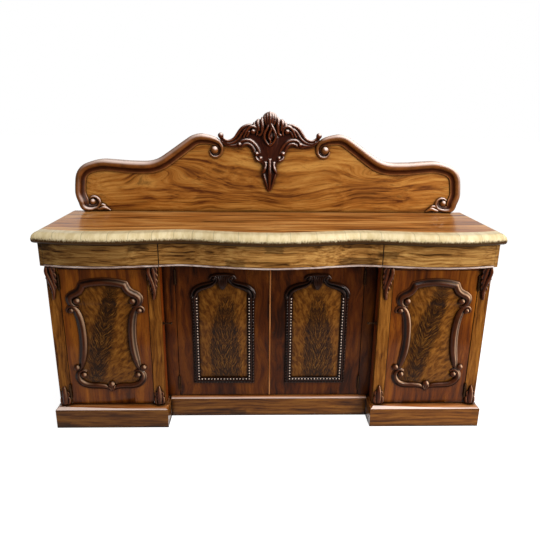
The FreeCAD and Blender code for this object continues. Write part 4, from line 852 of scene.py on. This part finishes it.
class MakeStage(bpy.types.Operator):
    """Set up the floor, the soft lamps, the pale surroundings and the camera"""
    bl_idname = "sideboard.stage"
    bl_label = "Stage"

    def execute(self, context):
        bpy.ops.object.select_all(action="DESELECT")
        # The pale floor ends just before the view does: the room behind the camera is dimmer
        bpy.ops.mesh.primitive_plane_add(
            size=FLOOR_SIZE, location=(0, FLOOR_SIZE / 2 - FLOOR_FRONT, FLOOR_Z))
        floor = bpy.context.object
        floor.name = "floor"
        material, tree = new_material("pale_floor")
        glow = add_node(tree, "Math", [white_share(tree, 1.0), FLOOR_GLOW], operation="MULTIPLY")
        matt = add_node(tree, "BsdfDiffuse", {"Color": linear("ACACAC")})
        light = add_node(tree, "Emission", {"Strength": glow})
        both = add_node(tree, "AddShader", [matt, light])
        add_node(tree, "OutputMaterial", {"Surface": both})
        floor.data.materials.append(material)

        world = bpy.data.worlds.new("studio")
        context.scene.world = world
        world.use_nodes = True
        tree = world.node_tree
        tree.nodes.clear()
        # Polish shows the white backdrop behind the sideboard, and in front the plain room
        behind = add_node(tree, "MapRange", {"Value": own_place(tree)[1]["Y"], "From Min": -0.2,
                                             "From Max": 0.1})
        strength = add_node(tree, "MapRange", {"Value": white_share(tree, behind),
                                               "To Min": ROOM_GLOW, "To Max": 1.0})
        sky = add_node(tree, "Background", {"Color": (1, 1, 1, 1), "Strength": strength})
        add_node(tree, "OutputWorld", {"Surface": sky})

        for name, (spot, size, power, aim) in LAMPS.items():
            bpy.ops.object.light_add(type="AREA", location=spot)
            lamp = bpy.context.object
            lamp.name = name
            lamp.data.shape = "RECTANGLE"
            lamp.data.size, lamp.data.size_y = size
            lamp.data.energy = power
            # The windows only light: they don't show as bright oblongs in the polish
            lamp.visible_glossy = "window" not in name
            lamp.rotation_euler = (Vector(aim) - Vector(spot)).to_track_quat("-Z", "Y").to_euler()

        bpy.ops.object.camera_add(location=[part * MM for part in CAMERA_SPOT])
        camera = bpy.context.object
        turn = Matrix.Rotation(math.radians(-CAMERA_TURN), 4, "Z")
        tilt = Matrix.Rotation(math.radians(90 - CAMERA_DOWN), 4, "X")
        roll = Matrix.Rotation(math.radians(CAMERA_ROLL), 4, "Z")
        camera.rotation_euler = (turn @ tilt @ roll).to_euler()
        camera.data.lens = CAMERA_LENS
        camera.data.sensor_width = SENSOR
        context.scene.camera = camera
        context.scene.view_settings.view_transform = "Standard"
        return {"FINISHED"}


class MakeGallery(bpy.types.Operator):
    """Model the scroll mouldings of the gallery with their volutes, balls and leaf spurs"""
    bl_idname = "sideboard.gallery"
    bl_label = "Gallery mouldings"

    def execute(self, context):
        edge = rounded([GALLERY_LEAD] + GALLERY_SWEEP)[1:]
        start, end = edge[0][0], max(across for across, up in edge)
        sweep = []
        for across, up in edge:
            wider = GALLERY_SWELL * math.sin(math.pi * (across - start) / (end - start))
            sweep.append((across, up - GALLERY_HALF * wider, 1 + wider))
        line = around(*UPPER_VOLUTE) + sweep + around(*LOWER_VOLUTE)
        parts = [swept(line, GALLERY_SECTION, GALLERY_Y),
                 swept([(*spot, 1) for spot in edge], GALLERY_WRAP, GALLERY_Y)]
        for across, up, radius, stand in VOLUTE_BALLS:
            parts.append(ball(across, up, radius, GALLERY_Y, stand))
        parts += [stroke(points, GALLERY_Y) for points in SPURS]
        right = joined("gallery_scroll_moulding_right", parts)
        left = moved_copy(right, "gallery_scroll_moulding_left", 0, mirror=True)
        finish(right, MOULDED, "carcass", ["gallery_scroll_right"])
        finish(left, MOULDED, "carcass", ["gallery_scroll_left"])
        return {"FINISHED"}


# Carved crest, right half: outline (across, up, radius) and strokes (across, up, radius, out)
CREST_OUTLINE = [
    (0, 1440, 0), (20, 1440, 14), (33, 1428, 8), (37, 1412, 4), (40, 1406, 2), (58, 1412, 10),
    (74, 1398, 6), (80, 1387, 4), (100, 1386, 10), (124, 1377, 14), (144, 1360, 16),
    (160, 1340, 14), (178, 1316, 12), (202, 1305, 10), (224, 1314, 6), (236, 1328, 4),
    (248, 1318, 6), (240, 1299, 10), (214, 1284, 14), (186, 1277, 10), (160, 1272, 6),
    (138, 1274, 8), (122, 1285, 10), (104, 1285, 12), (87, 1274, 10), (78, 1255, 8),
    (74, 1237, 6), (66, 1217, 10), (48, 1204, 10), (35, 1196, 6), (32, 1176, 6), (37, 1152, 3),
    (11, 1068, 4), (0, 1055, 0)]
CREST_STROKES = [
    # shell of the crown
    [(10, 1441, 7, 22), (13, 1424, 8, 30), (11, 1400, 6, 34), (7, 1380, 4, 33)],
    [(20, 1434, 7, 18), (25, 1418, 8, 26), (22, 1396, 6, 31), (15, 1378, 4, 31)],
    # flame leaf below it
    [(5, 1388, 4, 36), (14, 1368, 6, 37), (24, 1348, 6, 36), (28, 1328, 6, 33), (21, 1306, 5, 29),
     (9, 1291, 5, 26), (0, 1283, 4, 24)],
    # acanthus lobes that fan out beside the crown
    [(36, 1418, 7, 20), (40, 1402, 9, 27), (38, 1382, 9, 31), (38, 1360, 8, 31), (43, 1341, 6, 28),
     (55, 1332, 5, 24)],
    [(57, 1406, 9, 18), (60, 1390, 10, 25), (57, 1372, 8, 28), (55, 1356, 6, 27)],
    [(75, 1393, 8, 16), (76, 1380, 8, 22), (69, 1367, 6, 24)],
    # scroll round the side ball and the small leaf within it
    [(65, 1333, 4, 21), (62, 1352, 5, 25), (69, 1368, 6, 27), (85, 1375, 7, 27),
     (102, 1368, 7, 25), (114, 1353, 6, 22), (122, 1337, 5, 19), (130, 1322, 4, 16)],
    [(99, 1352, 6, 18), (107, 1340, 6, 17), (114, 1325, 5, 15)],
    # wing: three bands that run out to the end ball
    [(90, 1384, 6, 16), (112, 1379, 8, 18), (132, 1370, 8, 18), (147, 1356, 8, 17),
     (159, 1339, 8, 16), (172, 1322, 7, 15), (188, 1310, 7, 14), (206, 1306, 7, 14),
     (222, 1312, 6, 13), (232, 1322, 5, 13)],
    [(112, 1366, 5, 20), (128, 1352, 6, 19), (140, 1336, 6, 17), (152, 1319, 6, 15),
     (168, 1305, 6, 13), (186, 1296, 6, 12), (206, 1293, 6, 12), (226, 1301, 5, 11)],
    [(138, 1302, 5, 12), (156, 1290, 6, 11), (176, 1284, 6, 10), (200, 1284, 6, 10),
     (222, 1292, 6, 10), (238, 1304, 5, 10)],
    [(70, 1230, 4, 12), (62, 1216, 6, 14), (49, 1210, 6, 15), (39, 1217, 4, 15)],
    # ears and cheeks of the hanging drop
    [(21, 1202, 5, 14), (20, 1185, 7, 17), (25, 1168, 8, 20), (32, 1155, 6, 19),
     (37, 1151, 4, 15)],
    [(30, 1147, 5, 12), (22, 1118, 6, 13), (13, 1088, 5, 11), (5, 1066, 3, 8)],
]
# Arch below the wing, right half: an upper and a lower band, flatter than they are wide
CREST_ARCHES = [
    [(146, 1299, 4, 14), (132, 1307, 5, 16), (112, 1310, 6, 18), (93, 1305, 6, 19),
     (77, 1293, 6, 19), (63, 1276, 6, 18), (54, 1258, 5, 17), (50, 1244, 4, 16)],
    [(136, 1281, 5, 12), (122, 1290, 6, 13), (104, 1291, 6, 14), (89, 1281, 6, 14),
     (79, 1264, 6, 13), (75, 1250, 5, 12)],
]
# Strokes on the middle line: two under the crown's shell, its middle lobe and the hanging drop
CREST_MIDDLE = [
    [(0, 1384, 8, 20), (0, 1356, 15, 19), (0, 1326, 19, 16), (0, 1302, 11, 15), (0, 1290, 6, 14)],
    [(-4, 1386, 4, 33), (6, 1366, 5, 37), (-3, 1344, 5, 38), (-6, 1326, 4.5, 37),
     (2, 1306, 4, 33), (1, 1292, 3, 28)],
    [(0, 1443, 8, 24), (0, 1424, 9, 33), (0, 1400, 6, 37), (0, 1378, 4, 36)],
    [(0, 1218, 6, 17), (0, 1186, 8, 21), (0, 1150, 9, 23), (0, 1116, 8, 20), (0, 1086, 5, 15),
     (0, 1062, 3, 10)],
]
# The smooth shield below, and the balls of the right half (across, up, radius, out)
CREST_SHIELD = [(0, 1352, 24, 2), (0, 1322, 50, 5), (0, 1292, 46, 6), (0, 1262, 33, 6),
                (0, 1234, 22, 7), (0, 1206, 13, 8), (0, 1182, 11, 8)]
CREST_BALLS = [(83, 1351, 13.5, 19), (241, 1331, 14.5, 12), (150, 1288, 9, 15),
               (65, 1244, 9.5, 17), (46, 1222, 7.5, 16)]
# The plate behind the carving and the rounding of its edge
CREST_THICK = 14
CREST_EDGE = 3
# Share of the full depth that is left of the arches and the shield, and how far the ground of
# each stands out
ARCH_FLAT = 0.6
ARCH_OUT = 6
SHIELD_FLAT = 0.26
SHIELD_OUT = 8


class MakeCrest(bpy.types.Operator):
    """Carve the crest: shell, acanthus lobes, scrolled wings, shield and hanging drop"""
    bl_idname = "sideboard.crest"
    bl_label = "Carved crest"

    def execute(self, context):
        base = GALLERY_Y
        half = rounded(CREST_OUTLINE)
        outline = half + [(-across, up) for across, up in reversed(half[1:-1])]
        parts = [plate(outline, base, CREST_THICK, CREST_EDGE)]
        for lines, ground, flat in ((CREST_STROKES, base, 1.0),
                                    (CREST_ARCHES, base - ARCH_OUT * MM, ARCH_FLAT)):
            for points in lines:
                parts.append(stroke(points, ground, flat))
                parts.append(stroke(mirrored_line(points), ground, flat))
        for points in CREST_MIDDLE:
            parts.append(stroke(points, base))
        parts.append(stroke(CREST_SHIELD, base - SHIELD_OUT * MM, SHIELD_FLAT))
        for across, up, radius, stand in CREST_BALLS:
            parts.append(ball(across, up, radius, base, stand))
            parts.append(ball(-across, up, radius, base, stand))
        item = carved("crest", parts, context.scene.sideboard_sizes.carving_voxel)
        finish(item, CARVED, "carcass", ["crest_carving"], angle=0)
        return {"FINISHED"}


class MakePedestalScrolls(bpy.types.Operator):
    """Model the planted scroll mouldings and flame panels of the two pedestal doors"""
    bl_idname = "sideboard.pedestal_scrolls"
    bl_label = "Pedestal door scrolls"

    def execute(self, context):
        parts = [swept(both_halves(HEAD_SCROLL), SCROLL_SECTION, DOOR_Y)]
        for line in (BOW_SCROLL, FOOT_SCROLL):
            for half in (line, mirrored_line(line)):
                parts.append(swept(half, SCROLL_SECTION, DOOR_Y))
        for across, up, radius in SCROLL_BALLS:
            for sign in (1, -1):
                parts.append(ball(sign * across, up, radius, DOOR_Y, SCROLL_STAND))
        # The ball in the middle of the foot, over a small leaf of three cuts
        parts.append(ball(0, 212, 15, DOOR_Y, SCROLL_STAND))
        for across in (-10, 0, 10):
            parts.append(stroke([(across * 1.5, 207, 3, 4), (across * 1.1, 197, 5, 7),
                                 (across * 0.5, 184, 4, 6), (0, 174, 2, 3)], DOOR_Y))
        mouldings = door_pair("scroll_moulding", parts, DOOR_X)
        panels = door_pair("flame_panel", [door_panel(SCROLL_PANEL, DOOR_Y)], DOOR_X)
        for side in ("right", "left"):
            body = "door_" + side
            finish(mouldings[side], PLANTED, body, [body + "_moulding"])
            finish(panels[side], DOOR_FLAME, body, [body + "_panel"])
        return {"FINISHED"}


def pearl_row(start, end, pitch, radius, base, stand):
    """Pearls at even distances from one place to another, both included."""
    start = Vector(start)
    run = Vector(end) - start
    count = max(1, round(run.length / pitch))
    return [ball(*(start + run * step / count), radius, base, stand, segments=8)
            for step in range(count + 1)]


class MakeArchMouldings(bpy.types.Operator):
    """Model the arched, pearl-beaded mouldings and the flame panels of the two middle doors"""
    bl_idname = "sideboard.arches"
    bl_label = "Middle door arches"

    def execute(self, context):
        base = CENTRE_Y
        other_section = [(-aside, stand) for aside, stand in ARCH_SECTION]
        parts = [swept(both_halves(PEARL_FRAME), PEARL_SECTION, base),
                 swept(ARCH_HEAD, ARCH_SECTION, base),
                 swept(mirrored_line(ARCH_HEAD), other_section, base)]
        for sign in (-1, 1):
            parts.append(ball(sign * 143, 617, 7, base, 6))
            parts.append(ball(sign * 40, 710, 9, base, 7))
            parts.append(stroke([(sign * across, *rest) for across, *rest in ARCH_HOOK], base))
        parts.append(stroke(ARCH_BAND, base))
        # The key leaf: five cuts that draw together at its tip
        for across in (-2, -1, 0, 1, 2):
            parts.append(stroke([(across * 11, 722, 5, 8), (across * 8.5, 704, 5.5, 11),
                                 (across * 6.5, 682, 5, 12), (across * 3, 664, 4, 9),
                                 (0, 656, 2, 5)], base))
        radius = context.scene.sideboard_sizes.pearl_radius / MM
        pitch = context.scene.sideboard_sizes.pearl_pitch / MM
        # The inner rows are pieces of their own, painted pale as a highlight, and the outer rows
        # belong to the moulding, painted dark as shade
        rows = []
        for across, foot, row in ((122, 196, rows), (140, 178, parts)):
            for start, end in (((-across, foot), (-across, 612)), ((across, foot), (across, 612)),
                               ((pitch - across, foot), (across - pitch, foot))):
                row += pearl_row(start, end, pitch, radius, base, PEARL_STAND)
        mouldings = door_pair("arch_moulding", parts, CENTRE_X)
        pearls = door_pair("pearl_beading", rows, CENTRE_X)
        panels = door_pair("flame_arch_panel", [door_panel(ARCH_PANEL, base)], CENTRE_X)
        for side in ("right", "left"):
            body = "door_centre_" + side
            finish(mouldings[side], DARKENED, body, [body + "_moulding"])
            finish(pearls[side], PEARLED, body, [], angle=80)
            finish(panels[side], CENTRE_FLAME, body, [body + "_panel"])
        return {"FINISHED"}


# Truss and foot strokes: (across from the post's middle, up from the foot, radius, out)
TRUSS_STROKES = [
    [(-3, 148, 15, 8), (-5, 120, 14, 6), (-6, 84, 11, 4), (-6, 40, 8, 2), (-3, 14, 5, 1)],
    [(12, 151, 7, 21), (15, 133, 8, 21), (12, 111, 8, 18), (5, 86, 8, 14), (-2, 58, 7, 12),
     (-5, 32, 6.5, 10), (-2, 9, 6, 8), (1, -3, 4, 4)],
    [(17, 131, 5, 15), (22, 122, 4.5, 13), (21, 113, 3, 9)],
    [(14, 108, 5, 12), (20, 98, 4.5, 10), (19, 89, 3, 7)],
    [(8, 84, 5, 10), (15, 74, 4.5, 8), (14, 65, 3, 6)],
    [(3, 60, 4.5, 8), (10, 50, 4, 7), (9, 41, 3, 5)],
    [(1, 36, 3.5, 7), (6, 27, 3, 6)],
    [(-4, 150, 7, 20), (-6, 128, 7, 17), (-8, 102, 6, 13), (-10, 78, 5, 10), (-9, 54, 4, 8)],
    [(-14, 150, 5, 18), (-19, 138, 5, 14), (-17, 126, 4, 10)],
    [(-14, 120, 5, 11), (-20, 108, 4.5, 9), (-17, 98, 3, 7)],
    [(-13, 94, 5, 9), (-18, 82, 4, 7), (-15, 73, 3, 5)],
    [(-12, 68, 4, 7), (-16, 56, 3.5, 6), (-12, 48, 3, 4)],
    [(-17, 153, 4, 19), (0, 154, 3, 22), (17, 153, 4, 19)],
]
FOOT_STROKES = [
    [(0, 9, 11, 8), (0, 26, 13, 7), (0, 46, 13, 7), (0, 66, 10.5, 8), (0, 84, 7, 6),
     (0, 98, 3, 3)],
]
# Right half of the foot's leaf
FOOT_SIDE = [
    [(11, 5, 6, 6), (17, 12, 6, 8), (19, 27, 6, 8), (16, 40, 4, 7), (12, 35, 3, 8)],
    [(13, 45, 5, 6), (17, 56, 4, 6), (14, 66, 3, 5), (10, 61, 2.5, 5)],
    [(8, 14, 6, 4), (10, 42, 5, 4), (7, 70, 4, 3)],
]


class MakeTrusses(bpy.types.Operator):
    """Carve the leaf trusses at the heads of the posts and the leaf feet at their bases"""
    bl_idname = "sideboard.trusses"
    bl_label = "Trusses and feet"

    def execute(self, context):
        sizes = context.scene.sideboard_sizes
        half = sizes.pilaster_width / 2
        places = {"outer": PEDESTAL_OUT_X - half, "inner": PEDESTAL_IN_X + half}
        feet = FOOT_STROKES + FOOT_SIDE + [mirrored_line(line) for line in FOOT_SIDE]
        for kind, strokes, floor, node in (("truss", TRUSS_STROKES, TRUSS_Z, "upper_trusses"),
                                           ("leaf_foot", feet, PLINTH_Z, "leaf_feet")):
            item = carved(kind, [stroke(points, PEDESTAL_Y) for points in strokes],
                          sizes.truss_voxel)
            item.data.transform(Matrix.Translation((0, 0, floor)))
            for side, sign in SIDES.items():
                for place, across in places.items():
                    twin = moved_copy(item, "_".join((kind, side, place)), sign * across,
                                      mirror=sign < 0)
                    finish(twin, TRUSSED, "carcass", [node], angle=0)
            bpy.data.objects.remove(item)
        return {"FINISHED"}


# The nodes of the construction that each wood or metal finishes
NODE_WOODS = {
    "gallery": ["gallery_back_board"],
    "top": ["top_board"],
    "frieze": ["drawer_left_front", "drawer_centre_front", "drawer_right_front", "frieze_ends"],
    "bead": ["drawer_left_bead", "drawer_centre_bead", "drawer_right_bead"],
    "strip": ["meeting_bead_strip"],
    "ledge": ["plinth_mouldings"],
    "door": ["door_left_frame", "door_right_frame"],
    "centre": ["door_centre_left_frame", "door_centre_right_frame", "door_head_rails",
               "filler_stiles"],
    "post": ["pilasters", "pedestal_outer_sides"],
    "return": ["pedestal_inner_sides"],
    "plinth": ["plinth_left", "plinth_right", "plinth_centre"],
    "pine": ["carcass_backs", "carcass_bottoms", "carcass_tops", "shelves", "shelf_bearers",
             "drawer_left_box", "drawer_centre_box", "drawer_right_box", "frieze_back",
             "frieze_dividers"],
    "brass": ["centre_lock", "centre_lock_bolt", "door_left_fittings", "door_right_fittings",
              "door_centre_left_fittings", "door_centre_right_fittings", "hinge_fixed_leaves",
              "hinge_pins", "side_bolt_left", "side_bolt_right", "side_bolt_bushes"],
    "steel": ["gallery_plates", "gallery_screws"],
}
# Finishes whose pieces keep sharp edges: all others are eased, and catch a line of light
UNEASED = ("pine", "brass", "steel")


class FinishConstruction(bpy.types.Operator):
    """Make every wood and metal and give the boards of the construction their finish"""
    bl_idname = "sideboard.finish"
    bl_label = "Woods and metals"

    def execute(self, context):
        colours = context.scene.sideboard_colours
        woods = {wood: [tuple(getattr(colours, f"{wood}_{shade}")) for shade in SHADES]
                 for wood in WOODS}
        single = {name: tuple(getattr(colours, name)) for name in SINGLE_COLOURS}
        bloom = single["bloom"]
        # Crest and gallery mouldings: painted shade nearly black in the hollows, and a rosy
        # painted highlight where light falls on them
        carved_mahogany(CARVED, woods["carved"], bloom, UPPER_HIGHLIGHT_SIDE, 0.68)
        carved_mahogany(MOULDED, woods["moulding"], bloom, UPPER_HIGHLIGHT_SIDE, 0.62)
        # Door scrolls and trusses: a painted highlight on faces turned to the right, painted
        # stronger on the right-hand side
        carved_mahogany(PLANTED, woods["scroll"], single["scroll_bloom"], RIGHT_HIGHLIGHT_SIDE, 0.62,
                        painted_side_light=(0.4, 0.7, 1.0))
        carved_mahogany(TRUSSED, woods["truss"], single["truss_bloom"], RIGHT_HIGHLIGHT_SIDE, 0.66,
                        painted_side_light=(0.25, 0.6, 1.0))
        # Arched mouldings: painted shade almost black in the recess, with pearls painted pale as a
        # highlight
        carved_mahogany(DARKENED, woods["arch"], bloom, RIGHT_HIGHLIGHT_SIDE, 0.86, 0.5)
        carved_mahogany(PEARLED, [single["pearl"]] * 3, bloom, UPPER_HIGHLIGHT_SIDE, 0.7, 0.8)
        # Flame panels: a leaning plume on the pedestal doors, a tall upright one in the middle
        plume_wood(DOOR_FLAME, woods["plume"], single["filament"], (DOOR_X / MM, 450, -24),
                   lean=-13, width=52, height=280, splay=34)
        plume_wood(CENTRE_FLAME, woods["plume"], single["filament"], (CENTRE_X / MM, 300, 8),
                   lean=0, width=78, height=330, splay=17)
        raw = single["pine"]
        made = {
            # Golden brown board whose broad figure flows round two swirls and a knot between, with
            # painted shade darker in its middle
            "gallery": board_wood("flowing_mahogany_gallery", woods["gallery"], "X", line=13,
                                  length=300, wander=110, wander_size=420,
                                  bulges=[(-560, 1150, 150, 46, -80), (560, 1140, 190, 50, 85),
                                          (-60, 1080, 420, 90, 60)], painted_side_light=(1.0, 0.8, 0.93)),
            # Glossy top, and its pale lip and front band pieced from short cross-grained lengths
            "top": top_wood("polished_mahogany_top", woods["top"], woods["lip"],
                            single["lip_under"]),
            # Fine straight-grained veneer with let-in pieces and dusty joints, and painted shade
            # darker at both ends, most at the left
            "frieze": board_wood("veneered_mahogany_frieze", woods["frieze"], "X", line=8,
                                 length=330, wander=50, wander_size=260, streak=0.3,
                                 patched=0.12, painted_side_light=(0.44, 1.0, 0.7), dust=single["dust"]),
            # Beads painted pale as a highlight on their rounds, and glossy
            "bead": board_wood("mahogany_bead_painted_highlight", woods["bead"], "X", line=5, length=160,
                               wander=20, streak=0.2, gloss=0.2, coat=0.8),
            # Polished ledge of the plinths, with a whitish painted highlight on its front edge
            "ledge": board_wood("polished_mahogany_ledge", woods["ledge"], "X", line=8,
                                length=260, wander=20, gloss=0.25, coat=0.6,
                                edge=single["edge_bloom"]),
            # Meeting strip of the middle doors, rubbed by hands to a lighter brown
            "strip": board_wood("worn_mahogany_strip", woods["ledge"], "Z", line=4, length=120,
                                wander=10, streak=0.2),
            # Door frames: quiet, upright, soft-edged figure
            "door": board_wood("polished_mahogany_pedestal_door", woods["door"], "Z", line=26,
                               length=420, wander=110, streak=0.2),
            "centre": board_wood("polished_mahogany_middle_door", woods["centre"], "Z", line=26,
                                 length=300, wander=130, wander_size=300, streak=0.2, coat=0.15),
            # Posts and outer sides: dull polish over fine upright grain
            "post": board_wood("polished_mahogany_post", woods["post"], "Z", line=9, length=190,
                               wander=55, wander_size=260, streak=0.25, gloss=0.4, coat=0.12),
            # Inner returns: redder wood that still mirrors the light
            "return": board_wood("polished_mahogany_return", woods["return"], "Z", line=9,
                                 length=300, wander=30, coat=0.8),
            # Plinths: level grain, a few repairs, and painted shade darker towards the left
            "plinth": board_wood("polished_mahogany_plinth", woods["post"], "X", line=12,
                                 length=260, wander=60, streak=0.25, patched=0.06,
                                 painted_side_light=(0.68, 0.86, 1.12)),
            # Bare softwood: pale, dry and matt
            "pine": board_wood("bare_pine", [tuple(part * 0.6 for part in raw[:3]) + (1,), raw,
                                             raw], "X", line=20, length=600, wander=30,
                               streak=0.25, gloss=0.75, coat=0.0),
            # Brown, dull old brass, and grey steel that was never polished
            "brass": metal("aged_brass", single["brass"], 0.42),
            "steel": metal("plain_steel", single["steel"], 0.45),
        }
        for wood, names in NODE_WOODS.items():
            for name in names:
                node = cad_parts[name]
                node.data.materials.clear()
                node.data.materials.append(made[wood])
                if wood not in UNEASED:
                    weld = node.modifiers.new("weld", "WELD")
                    weld.merge_threshold = WELD
                    bevel = node.modifiers.new("arris", "BEVEL")
                    bevel.width = context.scene.sideboard_sizes.arris
                    bevel.segments = 2
                    bevel.angle_limit = math.radians(SHARP)
                    node.modifiers.new("shading", "WEIGHTED_NORMAL")
        return {"FINISHED"}


class SideboardPanel(bpy.types.Panel):
    """Steps that dress the sideboard"""
    bl_idname = "VIEW3D_PT_sideboard"
    bl_label = "Sideboard"
    bl_space_type = "VIEW_3D"
    bl_region_type = "UI"
    bl_category = "Sideboard"

    def draw(self, context):
        for step in STEPS:
            self.layout.operator(step.bl_idname)
        for group in (context.scene.sideboard_sizes, context.scene.sideboard_colours):
            for name in group.bl_rna.properties.keys():
                if name not in ("rna_type", "name"):
                    self.layout.prop(group, name)


STEPS = (MakeStage, FinishConstruction, MakeGallery, MakeCrest, MakePedestalScrolls,
         MakeArchMouldings, MakeTrusses)
CLASSES = (SideboardSizes, SideboardColours) + STEPS + (SideboardPanel,)


def register():
    """Add the classes and the two groups of settings to Blender."""
    for item in CLASSES:
        bpy.utils.register_class(item)
    bpy.types.Scene.sideboard_sizes = bpy.props.PointerProperty(type=SideboardSizes)
    bpy.types.Scene.sideboard_colours = bpy.props.PointerProperty(type=SideboardColours)


def unregister():
    """Take the settings and the classes out of Blender again."""
    del bpy.types.Scene.sideboard_colours
    del bpy.types.Scene.sideboard_sizes
    for item in reversed(CLASSES):
        bpy.utils.unregister_class(item)


def main():
    """Run every step."""
    register()
    bpy.ops.sideboard.stage()
    bpy.ops.sideboard.finish()
    bpy.ops.sideboard.gallery()
    bpy.ops.sideboard.crest()
    bpy.ops.sideboard.pedestal_scrolls()
    bpy.ops.sideboard.arches()
    bpy.ops.sideboard.trusses()


if __name__ == "__main__":
    main()
